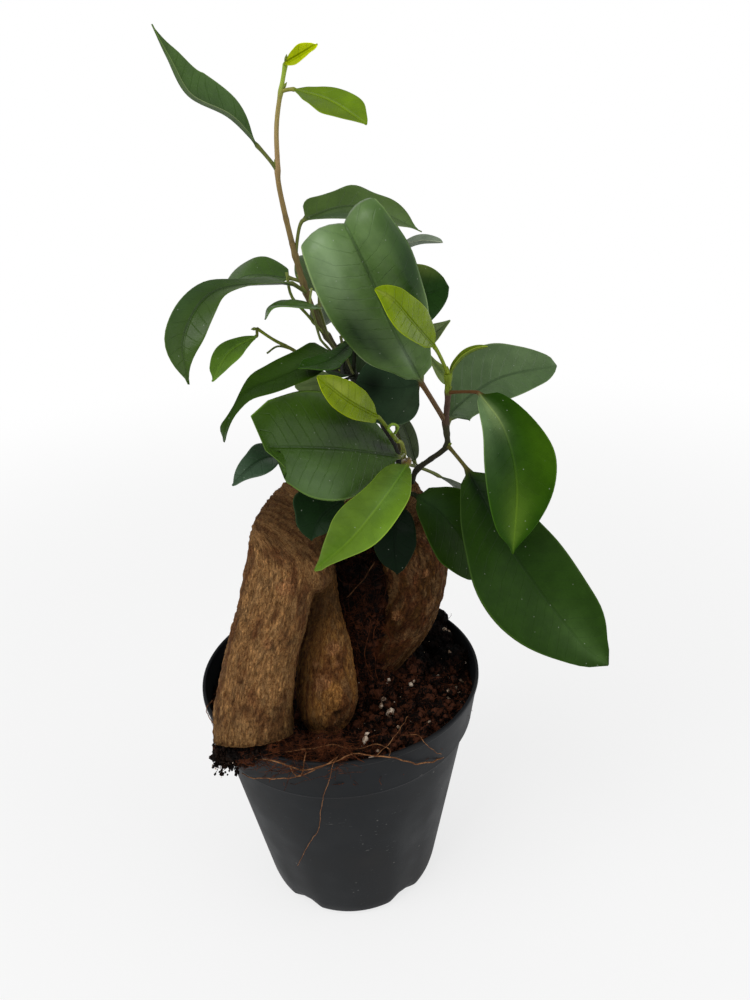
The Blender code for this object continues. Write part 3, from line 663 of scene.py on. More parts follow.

# %% [markdown]
# ## Bark material
# The tone painted on the points gives the large patches, with painted shade on the top of the
# middle leg and painted highlight and shade on the relief. The group adds what is too fine for
# them: wrinkles, short cross marks, dark pits and pale flakes, with painted highlight on the
# ridges and crests and painted shade in the furrows and cracks. It reads the straightened place,
# so that the marks follow each root round its bends.

# %% Bark group and material
def make_bark_group():
    tree, given, out = new_group(
        "root bark",
        [("Tone", COLOUR, (0.2, 0.12, 0.06, 1)), ("Place", VECTOR, None), ("Marks", VALUE, 1.0),
         ("Streaks", VALUE, 1.0)],
        [("Color", COLOUR), ("Roughness", VALUE), ("Height", VALUE)])
    given = given.outputs
    place = given["Place"]
    streaks = noise_of(tree, stretched(tree, place, (1.25, 1.25, 0.34)), 1.0, 4, 0.68)
    wander = add_node(tree, "ShaderNodeVectorMath", {"operation": "SCALE"}, {"Scale": 1.6,
                      0: add_node(tree, "ShaderNodeTexNoise", {},
                                  {"Vector": place, "Scale": 0.8}).outputs["Color"]})
    bent = add_node(tree, "ShaderNodeVectorMath", {"operation": "ADD"},
                    {0: place, 1: wander.outputs[0]}).outputs[0]
    net = add_node(tree, "ShaderNodeTexVoronoi", {"feature": "DISTANCE_TO_EDGE"},
                   {"Vector": stretched(tree, bent, (0.95, 0.95, 0.36)),
                    "Scale": 1.0}).outputs["Distance"]
    # Painted shade darkens the cracks, and painted highlight lightens the crests between them.
    crack_shade = math(tree, "MULTIPLY", ramp(tree, net, 0.09, 0.02), given["Marks"])
    crest_highlight = math(tree, "MULTIPLY", ramp(tree, net, 0.2, 0.34), given["Marks"])
    crosses = noise_of(tree, stretched(tree, place, (0.35, 0.35, 1.5)), 1.0, 4, 0.6)
    grit = noise_of(tree, place, 3.6, 3, 0.7)
    cells = add_node(tree, "ShaderNodeTexVoronoi", {},
                     {"Vector": stretched(tree, place, (0.8, 0.8, 0.5)),
                     "Scale": 1.0}).outputs["Distance"]
    strokes = math(tree, "MULTIPLY", ramp(tree, cells, 0.24, 0.12), given["Marks"])
    dashes = math(tree, "MULTIPLY", ramp(tree, crosses, 0.6, 0.68), given["Marks"])
    # The streaks' low parts take painted shade and their raised parts painted highlight; cross
    # marks, grit flakes and dark pits are the bark's own.
    dark = mix(tree, 1.0, given["Tone"], (0.5, 0.41, 0.34, 1), "MULTIPLY")
    light = mix(tree, 1.0, given["Tone"], (1.85, 1.75, 1.6, 1), "MULTIPLY")
    even = math(tree, "SUBTRACT", 1.0, given["Streaks"])
    shown = math(tree, "MULTIPLY", ramp(tree, streaks, 0.42, 0.48), given["Streaks"])
    colour = mix(tree, math(tree, "ADD", shown, even), dark, given["Tone"])
    ridge_highlight = math(tree, "MULTIPLY", ramp(tree, streaks, 0.53, 0.62), given["Streaks"])
    colour = mix(tree, math(tree, "MULTIPLY", ridge_highlight, 0.6), colour, light)
    colour = mix(tree, math(tree, "MULTIPLY", ramp(tree, grit, 0.52, 0.66, 0.0, 0.6),
                            given["Streaks"]), colour, light)
    colour = mix(tree, math(tree, "MULTIPLY", dashes, 0.4), colour, light)
    colour = mix(tree, math(tree, "MULTIPLY", crest_highlight, 0.4), colour, light)
    colour = mix(tree, math(tree, "MULTIPLY", crack_shade, 0.5), colour, dark)
    colour = mix(tree, math(tree, "MULTIPLY", strokes, 0.8), colour, dark)
    tree.links.new(colour, out.inputs["Color"])
    tree.links.new(ramp(tree, grit, 0.3, 0.7, 0.92, 0.72), out.inputs["Roughness"])
    height = math(tree, "ADD", ramp(tree, streaks, 0.38, 0.64), math(tree, "MULTIPLY", grit, 0.7))
    height = math(tree, "ADD", height, math(tree, "MULTIPLY", dashes, 0.3))
    height = math(tree, "ADD", height, math(tree, "MULTIPLY", ramp(tree, net, 0.0, 0.3),
                                            given["Marks"]))
    tree.links.new(math(tree, "SUBTRACT", height, math(tree, "MULTIPLY", strokes, 0.9)),
                   out.inputs["Height"])
    return tree


bark_group = make_bark_group()
bark, tree, shader = new_material("bark")
shader.inputs["Specular IOR Level"].default_value = 0.12
surface(tree, shader, bark_group, {"Tone": attribute(tree, "tone").outputs["Color"],
        "Place": attribute(tree, "limb_place").outputs["Vector"]}, 1.0, 0.0007)
add_piece("swollen_roots", trunk_mesh, bark, "bark", "trunk")

# %% [markdown]
# ## Potting soil
# Dark peat fills the pot to a finger's width under the rim, is heaped round the legs, clings in
# a fibrous mass between them, and has spilled over the rim by the sawn leg. One skin carries
# the heaps, and the crumbs, perlite and coir that make it look like soil are scattered on it.

# %% Soil bed
SOIL_LEVEL = 100
HEAPS = [(-33, -31, 103, 11.5), (-24, -38, 97, 9), (-42, -22, 98, 9), (-8, -44, 96, 8),
         (41, 30, 105, 8), (34, 36, 104, 8), (44, 19, 104, 8), (28, 6, 101, 12), (50, 6, 101, 7.5),
         (8, 40, 97, 8), (48, 31, 107.5, 5.5), (45, 36, 107, 5)]
ROOT_MASS = [(5, 1, 102, 19), (6, 2, 120, 16), (9, 3, 138, 16), (13, 3, 155, 14.5),
             (15, 4, 168, 11)]
SPILL = [(-38, -45, 106, 5.5), (-30, -48, 106.5, 5), (-46, -41, 103, 5), (-44, -38, 107, 4.4),
         (-46, -40, 105.5, 4), (-41, -46, 106.5, 3)]
SOIL_VOXEL = 1.3


def soil_bed():
    """The level bed as a chain, under its heaps."""
    levels = [(0, 0, 60, 40), (0, 0, 84, 50), (0, 0, 92, 55.4), (0, 0, SOIL_LEVEL - 1, 56.6)]
    random = np.random.default_rng(7)
    crumbs = []
    for _ in range(70):
        turn, out = random.uniform(0, 2 * np.pi), 52 * np.sqrt(random.uniform(0, 1))
        size = random.uniform(2.5, 6)
        crumbs.append((out * np.cos(turn), out * np.sin(turn), SOIL_LEVEL - 0.45 * size, size))
    angles = np.linspace(0, 2 * np.pi, 96, endpoint=False)
    rings = [[(r * np.cos(a), r * np.sin(a), z) for a in angles] for _, _, z, r in levels]
    shape = bmesh.new()
    for x, y, z, radius in HEAPS + SPILL + crumbs + [ROOT_MASS[-1]]:
        ball(shape, x, y, z, radius, 2)
    shape.verts.index_update()
    places = np.array([vertex.co[:] for vertex in shape.verts])
    faces = [[vertex.index for vertex in face.verts] for face in shape.faces]
    shape.free()
    mass = tube(smooth_route(ROOT_MASS, 20), smooth_route(ROOT_MASS, 20)[:, 3], 32)
    mesh = shell_mesh("soil_skin", joined([skin(rings), mass, (places, faces)]))
    return baked("soil_skin", mesh, ("REMESH", {"mode": "VOXEL", "voxel_size": SOIL_VOXEL * MM}))


def roughen_soil(mesh):
    places, normals = points_of(mesh), normals_of(mesh)
    depth = 1.1 * smooth_noise(places, 6, 11) + 0.8 * smooth_noise(places, 2.4, 12)
    radius = np.hypot(places[:, 0], places[:, 1])
    free = (places[:, 2] > 96) & ((radius < 55) | (places[:, 2] > 108))
    places += normals * (depth * free)[:, None]
    held = (places[:, 2] < 108) & (places[:, 2] > 84) & ~((places[:, 0] < -35) & (places[:,
                                                                                         1] < -33))
    room = 55.0 + 0.15 * (places[:, 2] - 89)
    radius = np.hypot(places[:, 0], places[:, 1])
    places[:, :2] *= np.where(held, np.minimum(1, room / np.maximum(radius, 1)), 1)[:, None]
    move_points(mesh, places)
    inside = radius < 57.5
    over = (places[:, 0] < -35) & (places[:, 1] < -33) & (places[:, 2] > 98)
    top = (places[:, 2] > 95) & (inside | over)
    mass = np.clip((places[:, 2] - 108) / 8, 0, 1) * (np.hypot(places[:, 0] - 7,
                                                               places[:, 1] - 6) < 24)
    keep_values(mesh, "cover", top * (1 - 0.6 * mass))
    groups = np.clip(smooth_noise(places, 9, 14) * 3, 0, 1.5)
    keep_values(mesh, "white", top * np.clip(1 - mass * 2, 0,
                                             1) * (0.2 + (places[:, 0] > 2) * (0.3 + groups)))
    matted = bump(places[:, 1], -49, 10) * bump(places[:, 0], -16, 26)
    keep_values(mesh, "fibrous", top * (0.25 + 1.2 * mass + 1.6 * matted))
    mesh.shade_smooth()


soil_mesh = soil_bed()
roughen_soil(soil_mesh)
print("soil points:", len(soil_mesh.vertices))

# %% Soil group and materials
def make_soil_group():
    tree, given, out = new_group(
        "crumbly earth",
        [("Place", VECTOR, None), ("Dark", COLOUR, (0.012, 0.007, 0.005, 1)),
         ("Light", COLOUR, (0.06, 0.028, 0.014, 1)), ("Painted shade", VALUE, 1.0)],
        [("Color", COLOUR), ("Roughness", VALUE), ("Height", VALUE)])
    given = given.outputs
    where = add_node(tree, "ShaderNodeSeparateXYZ", {}, {0: given["Place"]}).outputs
    # Painted shade: the earth darkens above 13 cm, under the leaves, and towards the back, behind
    # the legs.
    high = math(tree, "MULTIPLY", ramp(tree, where[2], 0.13, 0.158, 1.0, 0.3),
                ramp(tree, where[1], -0.007, 0.003, 1.0, 0.06))
    high = math(tree, "SUBTRACT", 1.0, math(tree, "MULTIPLY", given["Painted shade"],
                                            math(tree, "SUBTRACT", 1.0, high)))
    clouds = noise_of(tree, given["Place"], 230, 5, 0.65)
    grit = noise_of(tree, given["Place"], 1400, 3, 0.7)
    colour = mix(tree, ramp(tree, clouds, 0.48, 0.56), given["Dark"], given["Light"])
    colour = mix(tree, ramp(tree, grit, 0.52, 0.7, 0.0, 0.6), colour,
                 mix(tree, 1.0, given["Light"], (1.9, 1.7, 1.6, 1), "MULTIPLY"))
    shade = add_node(tree, "ShaderNodeCombineXYZ", {}, {0: high, 1: high, 2: high}).outputs[0]
    colour = mix(tree, 1.0, colour, shade, "MULTIPLY")
    tree.links.new(colour, out.inputs["Color"])
    tree.links.new(ramp(tree, grit, 0.3, 0.7, 0.95, 0.8), out.inputs["Roughness"])
    tree.links.new(math(tree, "ADD", clouds, math(tree, "MULTIPLY", grit, 0.6)),
                   out.inputs["Height"])
    return tree


# Every earth material takes the group's painted shade in full, except perlite, which takes 0.3 of
# it.
def earth_material(name, dark, light, painted_shade=1.0):
    material, tree, shader = new_material(name)
    surface(tree, shader, soil_group, {"Place": object_place(tree), "Dark": (*linear(dark), 1),
            "Light": (*linear(light), 1), "Painted shade": painted_shade}, 0.9, 0.0006)
    shader.inputs["Specular IOR Level"].default_value = 0.1
    return material


soil_group = make_soil_group()
soil = earth_material("soil", (9, 6, 5), (44, 23, 13))
crumb = earth_material("soil_crumb", (11, 7, 5), (76, 42, 27))
spilt_earth = earth_material("spilt_earth", (9, 6, 5), (30, 19, 13))
perlite = earth_material("perlite", (128, 104, 84), (214, 196, 176), 0.3)
coir = earth_material("coir_fibre", (50, 25, 13), (98, 54, 30))
soil_piece = add_piece("potting_soil", soil_mesh, soil, "soil", "soil")

# %% [markdown]
# ## Crumbs and perlite
# Thousands of crumbs can't be placed by hand. Geometry Nodes scatter points over the soil, put
# a tiny rough ball on each, and turn and stretch every ball at random. A value kept on the
# soil's points says where they may lie. The same tree makes the white perlite, with other sizes.

# %% Crumb scatter
def named_value(tree, name):
    return add_node(tree, "GeometryNodeInputNamedAttribute", {"data_type": "FLOAT"},
                    {"Name": name}).outputs[0]


def random_between(tree, kind, low, high, seed):
    """A random value or vector for each point."""
    made = add_node(tree, "FunctionNodeRandomValue", {"data_type": kind})
    first, last, out = {"FLOAT_VECTOR": (0, 1, 0), "FLOAT": (2, 3, 1)}[kind]
    for key, value in ((first, low), (last, high), ("Seed", seed)):
        if isinstance(value, bpy.types.NodeSocket):
            tree.links.new(value, made.inputs[key])
        else:
            made.inputs[key].default_value = value
    return made.outputs[out]


def scattered_points(tree, given, where, seed):
    """Points on the faces that a kept value allows, and their turn."""
    dense = math(tree, "MULTIPLY", given["Density"], named_value(tree, where))
    spread = add_node(tree, "GeometryNodeDistributePointsOnFaces", {"distribute_method": "RANDOM"},
                      {"Mesh": given["Geometry"], "Density": dense, "Seed": seed})
    return spread.outputs["Points"], spread.outputs["Rotation"]


def make_crumb_tree(where, seed):
    tree, given, out = new_group(
        "scattered crumbs on " + where,
        [("Geometry", "NodeSocketGeometry", None), ("Density", VALUE, 100000.0),
         ("Smallest", VALUE, 0.0005), ("Largest", VALUE, 0.0015), ("Roughness", VALUE, 0.0008),
         ("Material", "NodeSocketMaterial", None)],
        [("Geometry", "NodeSocketGeometry")], "GeometryNodeTree")
    given = given.outputs
    points, _ = scattered_points(tree, given, where, seed)
    grain = add_node(tree, "GeometryNodeMeshIcoSphere", {}, {"Radius": 1.0, "Subdivisions": 1})
    turn = random_between(tree, "FLOAT_VECTOR", (0, 0, 0), (6.28, 6.28, 6.28), seed + 1)
    size = random_between(tree, "FLOAT", 0.0, 1.0, seed + 2)
    size = math(tree, "POWER", size, 2.2)
    size = add_node(tree, "ShaderNodeMapRange", {}, {"Value": size, "To Min": given["Smallest"],
                    "To Max": given["Largest"]}).outputs[0]
    shape = random_between(tree, "FLOAT_VECTOR", (0.6, 0.6, 0.45), (1.25, 1.1, 0.9), seed + 3)
    scale = add_node(tree, "ShaderNodeVectorMath", {"operation": "SCALE"},
                     {0: shape, "Scale": size})
    placed = add_node(tree, "GeometryNodeInstanceOnPoints", {}, {"Points": points,
                      "Instance": grain.outputs["Mesh"], "Rotation": turn,
                      "Scale": scale.outputs[0]})
    real = add_node(tree, "GeometryNodeRealizeInstances", {}, {"Geometry": placed.outputs[0]})
    rough = add_node(tree, "ShaderNodeTexNoise", {}, {"Scale": 900.0, "Detail": 2.0})
    shift = add_node(tree, "ShaderNodeVectorMath", {"operation": "SUBTRACT"},
                     {0: rough.outputs["Color"], 1: (0.5, 0.5, 0.5)})
    shift = add_node(tree, "ShaderNodeVectorMath", {"operation": "SCALE"},
                     {0: shift.outputs[0], "Scale": given["Roughness"]})
    moved = add_node(tree, "GeometryNodeSetPosition", {}, {"Geometry": real.outputs[0],
                     "Offset": shift.outputs[0]})
    painted = add_node(tree, "GeometryNodeSetMaterial", {}, {"Geometry": moved.outputs[0],
                       "Material": given["Material"]})
    tree.links.new(painted.outputs[0], out.inputs[0])
    return tree


def scatter(name, base, tree, values, material, slot):
    """Runs a scatter tree on a piece and adds the result as a piece of its own."""
    carrier = bpy.data.objects.new(name + "_carrier", base.data.copy())
    bpy.context.scene.collection.objects.link(carrier)
    modifier = carrier.modifiers.new("scatter", "NODES")
    modifier.node_group = tree
    for item in tree.interface.items_tree:
        if item.item_type == "SOCKET" and item.in_out == "INPUT" and item.name in values:
            modifier[item.identifier] = values[item.name]
    mesh = evaluated(carrier)
    bpy.data.objects.remove(carrier)
    for key in [item.name for item in mesh.attributes if item.name in ("cover", "white",
                                                                       "fibrous")]:
        mesh.attributes.remove(mesh.attributes[key])
    print(name, "faces:", len(mesh.polygons))
    return add_piece(name, mesh, material, slot)


crumb_tree = make_crumb_tree("cover", 3)
scatter("peat_crumbs", soil_piece, crumb_tree, {"Density": 520000.0, "Smallest": 0.0004,
                                                "Largest": 0.0024,
        "Roughness": 0.0012, "Material": crumb}, crumb, "soil")
speck_tree = make_crumb_tree("white", 57)
scatter("white_specks", soil_piece, speck_tree, {"Density": 60000.0, "Smallest": 0.00016,
                                                 "Largest": 0.0005,
        "Roughness": 0.0002, "Material": perlite}, perlite, "soil")
perlite_tree = make_crumb_tree("white", 21)
scatter("perlite_grains", soil_piece, perlite_tree, {"Density": 9500.0, "Smallest": 0.0006,
                                                     "Largest": 0.0021,
        "Roughness": 0.0007, "Material": perlite}, perlite, "soil")

# %% [markdown]
# ## Coir and fine roots
# Coir fibres lie over the soil and hang in the mass between the legs. A scatter of short bent
# curves gives them: each is turned at random on the surface, bent by noise and given a
# thickness. The few longer roots over the rim are drawn one by one, since each is seen.

# %% Coir scatter
def make_fibre_tree(where, seed):
    tree, given, out = new_group(
        "scattered fibres on " + where,
        [("Geometry", "NodeSocketGeometry", None), ("Density", VALUE, 60000.0),
         ("Length", VALUE, 0.012), ("Thickness", VALUE, 0.0002), ("Bend", VALUE, 0.006),
         ("Material", "NodeSocketMaterial", None)],
        [("Geometry", "NodeSocketGeometry")], "GeometryNodeTree")
    given = given.outputs
    points, turn = scattered_points(tree, given, where, seed)
    line = add_node(tree, "GeometryNodeCurveQuadraticBezier", {}, {"Resolution": 6,
                    "Start": (-0.5, 0, 0.02), "Middle": (0, 0.25, 0.22), "End": (0.5, 0, 0.0)})
    spin = random_between(tree, "FLOAT_VECTOR", (-0.5, -0.5, 0), (0.5, 0.5, 6.28), seed + 1)
    spin = add_node(tree, "FunctionNodeEulerToRotation", {}, {0: spin}).outputs[0]
    turn = add_node(tree, "FunctionNodeRotateRotation", {"rotation_space": "LOCAL"},
                    {0: turn, 1: spin}).outputs[0]
    size = random_between(tree, "FLOAT", 0.35, 1.2, seed + 2)
    size = math(tree, "MULTIPLY", size, given["Length"])
    placed = add_node(tree, "GeometryNodeInstanceOnPoints", {}, {"Points": points,
                      "Instance": line.outputs[0], "Rotation": turn, "Scale": size})
    real = add_node(tree, "GeometryNodeRealizeInstances", {}, {"Geometry": placed.outputs[0]})
    bends = add_node(tree, "ShaderNodeTexNoise", {}, {"Scale": 110.0, "Detail": 1.0})
    shift = add_node(tree, "ShaderNodeVectorMath", {"operation": "SUBTRACT"},
                     {0: bends.outputs["Color"], 1: (0.5, 0.5, 0.5)})
    shift = add_node(tree, "ShaderNodeVectorMath", {"operation": "SCALE"},
                     {0: shift.outputs[0], "Scale": given["Bend"]})
    moved = add_node(tree, "GeometryNodeSetPosition", {}, {"Geometry": real.outputs[0],
                     "Offset": shift.outputs[0]})
    section = add_node(tree, "GeometryNodeCurvePrimitiveCircle", {}, {"Resolution": 3,
                       "Radius": given["Thickness"]})
    skinned = add_node(tree, "GeometryNodeCurveToMesh", {}, {"Curve": moved.outputs[0],
                       "Profile Curve": section.outputs["Curve"], "Fill Caps": True})
    painted = add_node(tree, "GeometryNodeSetMaterial", {}, {"Geometry": skinned.outputs[0],
                       "Material": given["Material"]})
    tree.links.new(painted.outputs[0], out.inputs[0])
    return tree


fibre_tree = make_fibre_tree("fibrous", 31)
scatter("coir_fibres", soil_piece, fibre_tree, {"Density": 260000.0, "Length": 0.009,
                                                "Thickness": 0.0001,
        "Bend": 0.007, "Material": coir}, coir, "soil")

# %% [markdown]
# ## Long fine roots
# Thin brown roots have crept out of the soil. They lie along the pot's rim, and one hangs down
# its side. Each could be a curve with a bevel. A tube skinned along a listed route and shaken by
# cloudy noise has the kinks of a real root, and it is a plain closed mesh from the start.

# %% Long fine roots
ROOT_SHARE = 0.62        # a root's radius, as a share of the listed one


LONG_ROOTS = [
    ([(-46, -36.1, 93.6), (-40, -44.5, 101), (-36.1, -48.4, 105), (-28, -54.2, 108.2),
      (-22, -56.8, 107),
      (-16.4, -58.6, 106.4), (-9.5, -60.4, 109.6), (-3.6, -59.3, 110.4), (3.2, -57.6, 110.6),
      (11.3, -59.3, 110.4), (17, -58.8, 108.9), (22.4, -55.9, 103.4), (26.9, -53, 98.7),
      (34.8, -47.2, 94.4), (41, -38, 88)], 0.42),
    ([(-22, -56.8, 107), (-20.4, -56.8, 103.2), (-19.1, -57, 101.9), (-17, -57.9, 105),
      (-16, -57, 109.8), (-15, -54, 111)], 0.34),
    ([(-2, -52, 108), (-3.5, -58, 110.6), (-5.5, -60.7, 109.7), (-7.1, -59.8, 101.9),
      (-9.9, -58.1, 93.1),
      (-11.9, -54, 80), (-13.8, -51, 67.5), (-18.3, -46.8, 55.5), (-24.6, -39.6, 34.8)], 0.2),
    ([(-43, -38, 88), (-38, -45, 92), (-31.6, -50, 95.5), (-22.6, -55.5, 100.3),
      (-15.5, -58.5, 104.3),
      (-8.8, -60.4, 109.3), (-4, -58, 110.8)], 0.3),
    ([(-26, -50, 108), (-20.3, -53.3, 111), (-13.5, -51.5, 110), (-5.2, -51.5, 110.6),
      (2.3, -53, 109)], 0.36),
    ([(10, -57, 108), (15.3, -52.5, 109), (19, -46.3, 108), (22.5, -39.3, 106), (25.5, -31.2, 104)],
     0.24),
    ([(22, -42, 104), (27.8, -47.5, 108), (29.4, -53.2, 109.6), (33.3, -50, 102), (37, -46, 96)],
     0.2),
    ([(0, -50, 107), (4.9, -53.9, 110), (10.8, -51.4, 109), (15.8, -55.3, 109.6),
      (15.5, -58.6, 109.8)], 0.22),
    ([(-50, -34, 108), (-54, -30, 111), (-56, -24, 110), (-55, -14, 107)], 0.28),
    ([(4, -17.5, 154), (8, -17.5, 158), (12, -17, 163), (16, -15, 168)], 0.36),
]


def wandering(route, amount, seed):
    """A route with small wanderings, as a root has."""
    fine = smooth_route(route, max(16, int(len(route) * 7)))
    shift = np.stack([smooth_noise(fine, 5, seed + k, 2) for k in range(3)], 1)
    return fine + amount * shift


long_shells = [tube(wandering(route, 0.45, 90 + i), ROOT_SHARE * radius, 6)
               for i, (route, radius) in enumerate(LONG_ROOTS)]
root_brown = earth_material("root_brown", (104, 68, 42), (150, 106, 70))
add_piece("fine_roots", shell_mesh("fine_roots", joined(long_shells)), root_brown, "bark")
print("long roots:", len(long_shells))

# %% [markdown]
# ## Hanging and creeping fibres
# A mass of hair-fine roots holds the soil between the legs. Some hang from it, some creep over
# the right leg, and a few stronger ones run down its front. Each fibre starts at a random spot
# on the mass or the leg, with a fixed seed, and has only three sides, because there are hundreds.

# %% Hanging and creeping fibres
MASS_ROOTS = [
    ([(22, -14, 164), (19, -15, 150), (15, -16, 138), (14, -17, 124), (15, -18, 112)], 0.24),
    ([(0, -15, 166), (3, -17, 161), (9, -17, 159.5), (16, -16, 160), (21, -15, 163)], 0.2),
    ([(6, -16, 160), (5, -17, 148), (8, -17.5, 136), (6, -18, 122), (8, -19, 110)], 0.16),
    ([(12, -15, 156), (11, -16.5, 148), (13, -17, 141), (10, -18, 128), (12, -19, 113)], 0.22),
    ([(2, -16, 158), (3, -18, 146), (1, -19, 134), (3, -20, 120), (1, -24, 108)], 0.15),
    ([(26, -13, 150), (20, -16, 141), (22, -16, 133), (28, -13, 128), (36, -10, 131)], 0.18),
    ([(18, -16, 138), (21, -16, 131), (20, -17, 122), (23, -15, 112)], 0.2),
]


def hanging_fibres(count=420, seed=5):
    """Short fine roots that hang from the mass between the legs."""
    random = np.random.default_rng(seed)
    made = []
    for i in range(count):
        share, turn = random.uniform(0, 1), random.uniform(0, 2 * np.pi)
        x, y, z, radius = smooth_route(ROOT_MASS, 50)[int(share * 49)]
        out = np.array([np.cos(turn), np.sin(turn), 0])
        start = np.array([x, y, z]) + out * radius * 0.9
        length = random.uniform(5, 18)
        sway = random.uniform(-6, 6, 2)
        points = [start, start + out * 1.8 + (sway[0] * 0.5, sway[1] * 0.3, -length * 0.4),
                  start + out * 1.3 + (sway[0], sway[1] * 0.5, -length * 0.75),
                  start + out * 0.2 + (sway[0] * 0.6, 0, -length)]
        made.append(tube(wandering(points, 1.3, 50 + i)[::3], random.uniform(0.05, 0.1), 3))
    return made


def leg_fibres(count=170, seed=23):
    """Fine fibres that creep from the root mass over the right leg."""
    random = np.random.default_rng(seed)
    chain = smooth_route(ROOTS["right_leg"], 40)
    made = []
    for i in range(count):
        x, y, z, radius = chain[int(4 + 17 * random.uniform(0, 1))]
        turn = np.radians(random.uniform(-165, -85))
        out = np.array([np.cos(turn), np.sin(turn), 0])
        start = np.array([x, y, z]) + out * (radius + 0.6)
        way = random.normal(0, 1, 3) * (1, 0.4, 1.3)
        way = unit(way - out * np.dot(way, out)) * random.uniform(2, 7)
        points = [start - way - out * 0.6, start - way * 0.3 + out * 0.5, start + way * 0.4,
                  start + way - out * 0.8]
        made.append(tube(wandering(points, 1.0, 800 + i)[::3], random.uniform(0.05, 0.1), 3))
    return made


mass_shells = [tube(wandering(route, 0.6, 130 + i), ROOT_SHARE * radius, 5)
               for i, (route, radius) in enumerate(MASS_ROOTS)]
hanging = hanging_fibres() + leg_fibres() + mass_shells
add_piece("hanging_roots", shell_mesh("hanging_roots", joined(hanging)), coir, "bark")
print("hanging fibres:", len(hanging))

# %% [markdown]
# ## Matted fibres
# By the foot of the sawn leg the fibres lie in a loose mat that reaches over the rim. They are
# made in the same way, spread over a strip of the soil, and they sink where the rim ends.

# %% Matted fibres
def matted_fibres(count=300, seed=9):
    """Fine fibres that lie in a mat by the sawn leg's foot and hang over the rim."""
    random = np.random.default_rng(seed)
    made = []
    for i in range(count):
        x, y = random.uniform(-42, 2), random.normal(-54, 4)
        if np.hypot(x, y) > 63:
            continue
        over = max(0, np.hypot(x, y) - 58)
        start = np.array([x, y, 110.5 + random.uniform(-1.5, 1.5) - over * 1.2])
        turn, length = random.uniform(0, 6.28), random.uniform(3, 10)
        way = np.array([np.cos(turn), 0.5 * np.sin(turn), random.uniform(-0.35, 0.25)])
        points = [start - way * length, start - way * 0.3 * length + (0, 0, 1.0),
                  start + way * 0.4 * length,
                  start + way * length + (0, 0, -0.8)]
        made.append(tube(wandering(points, 1.6, 400 + i)[::3], random.uniform(0.06, 0.12), 3))
    return made


matted = matted_fibres()
add_piece("matted_roots", shell_mesh("matted_roots", joined(matted)), coir, "bark")
print("matted fibres:", len(matted))

# %% [markdown]
# ## Spilt soil
# Soil has spilt over the rim at the front left, in loose dark crumbs with a few white grains.
# Each crumb is a small ball whose twelve points are pushed in or out by random amounts, which
# is cheap enough to repeat hundreds of times.

# %% Spilt soil
def crumb_pile(count, low, high, smallest, largest, seed):
    """Loose crumbs between two corners of a box, more of them near its top."""
    random = np.random.default_rng(seed)
    shells = []
    for _ in range(count):
        share = random.uniform(0, 1, 3) ** (1, 1, 0.6)
        middle = np.array(low) + share * (np.array(high) - low)
        size = smallest + (largest - smallest) * random.uniform(0, 1) ** 2
        shape = bmesh.new()
        bmesh.ops.create_icosphere(shape, subdivisions=1, radius=1.0)
        shape.verts.index_update()
        points = np.array([vertex.co[:] for vertex in shape.verts]) * random.uniform(0.55, 1.35,
                                                                                     (12, 1))
        shells.append((middle + size * points,
                       [[v.index for v in face.verts] for face in shape.faces]))
        shape.free()
    return shells


spilt = crumb_pile(330, (-51.5, -51, 98), (-40, -44, 109.5), 0.25, 1.1, 15)
spilt += crumb_pile(260, (-50, -53, 107.5), (-24, -48, 111), 0.3, 1.0, 17)
add_piece("spilt_crumbs", shell_mesh("spilt_crumbs", joined(spilt), smooth=False), spilt_earth,
          "soil")
spilt_white = crumb_pile(22, (-52, -51, 96), (-42, -45, 106), 0.2, 0.5, 19)
add_piece("spilt_perlite", shell_mesh("spilt_perlite", joined(spilt_white)), perlite, "soil")
print("spilt crumbs:", len(spilt), "grains:", len(spilt_white))

# %% [markdown]
# ## Large grains and clods
# The open soil shows some larger white grains of perlite and larger lumps of peat between the
# scattered crumbs. The grains are listed, because they catch the eye, and the lumps are random.

# %% Large grains and clods
CLOD_COUNT = 150
BIG_GRAINS = [(16.8, -16.6, 1.5), (15.8, -20.3, 1.5), (19.2, -24.6, 2.0), (31.0, -5.1, 1.9),
              (29.9, -8.2, 1.2), (7.5, -39.9, 1.8), (8.5, -36.6, 1.0), (5.4, 15.7, 0.8),
              (22.1, -48.0, 1.0),
              (44.8, 2.7, 0.8), (45.1, -14.3, 0.9), (51.2, 24.5, 0.8), (44.5, -25.4, 0.9),
              (21.3, -34.1, 0.8), (12.1, -46.7, 0.7), (31.2, -39.5, 0.7), (37.5, -13.3, 0.7),
              (-48, 12, 1.6),
              (-52, 4, 0.9)]


def clod(seed):
    """One lump of peat on the open soil at the right, larger than the scattered crumbs."""
    random = np.random.default_rng(600 + seed)
    turn, out = random.uniform(-1.3, 0.45), 52 * np.sqrt(random.uniform(0.03, 1))
    x, y = out * np.cos(turn), out * np.sin(turn)
    size = 0.8 + 1.2 * random.uniform(0, 1) ** 1.5
    return crumb_pile(1, (x, y, 101.2), (x, y, 102.4), size, size, 700 + seed)


big_white = [shell for x, y, size in BIG_GRAINS for shell in
             crumb_pile(1, (x, y, 101.4), (x, y, 101.6), size, size, int(40 * size + x + 60))]
add_piece("big_perlite", shell_mesh("big_perlite", joined(big_white)), perlite, "soil")
clods = [shell for i in range(CLOD_COUNT) for shell in clod(i)]
add_piece("soil_clods", shell_mesh("soil_clods", joined(clods)), crumb, "soil")
print("large grains:", len(big_white), "clods:", len(clods))
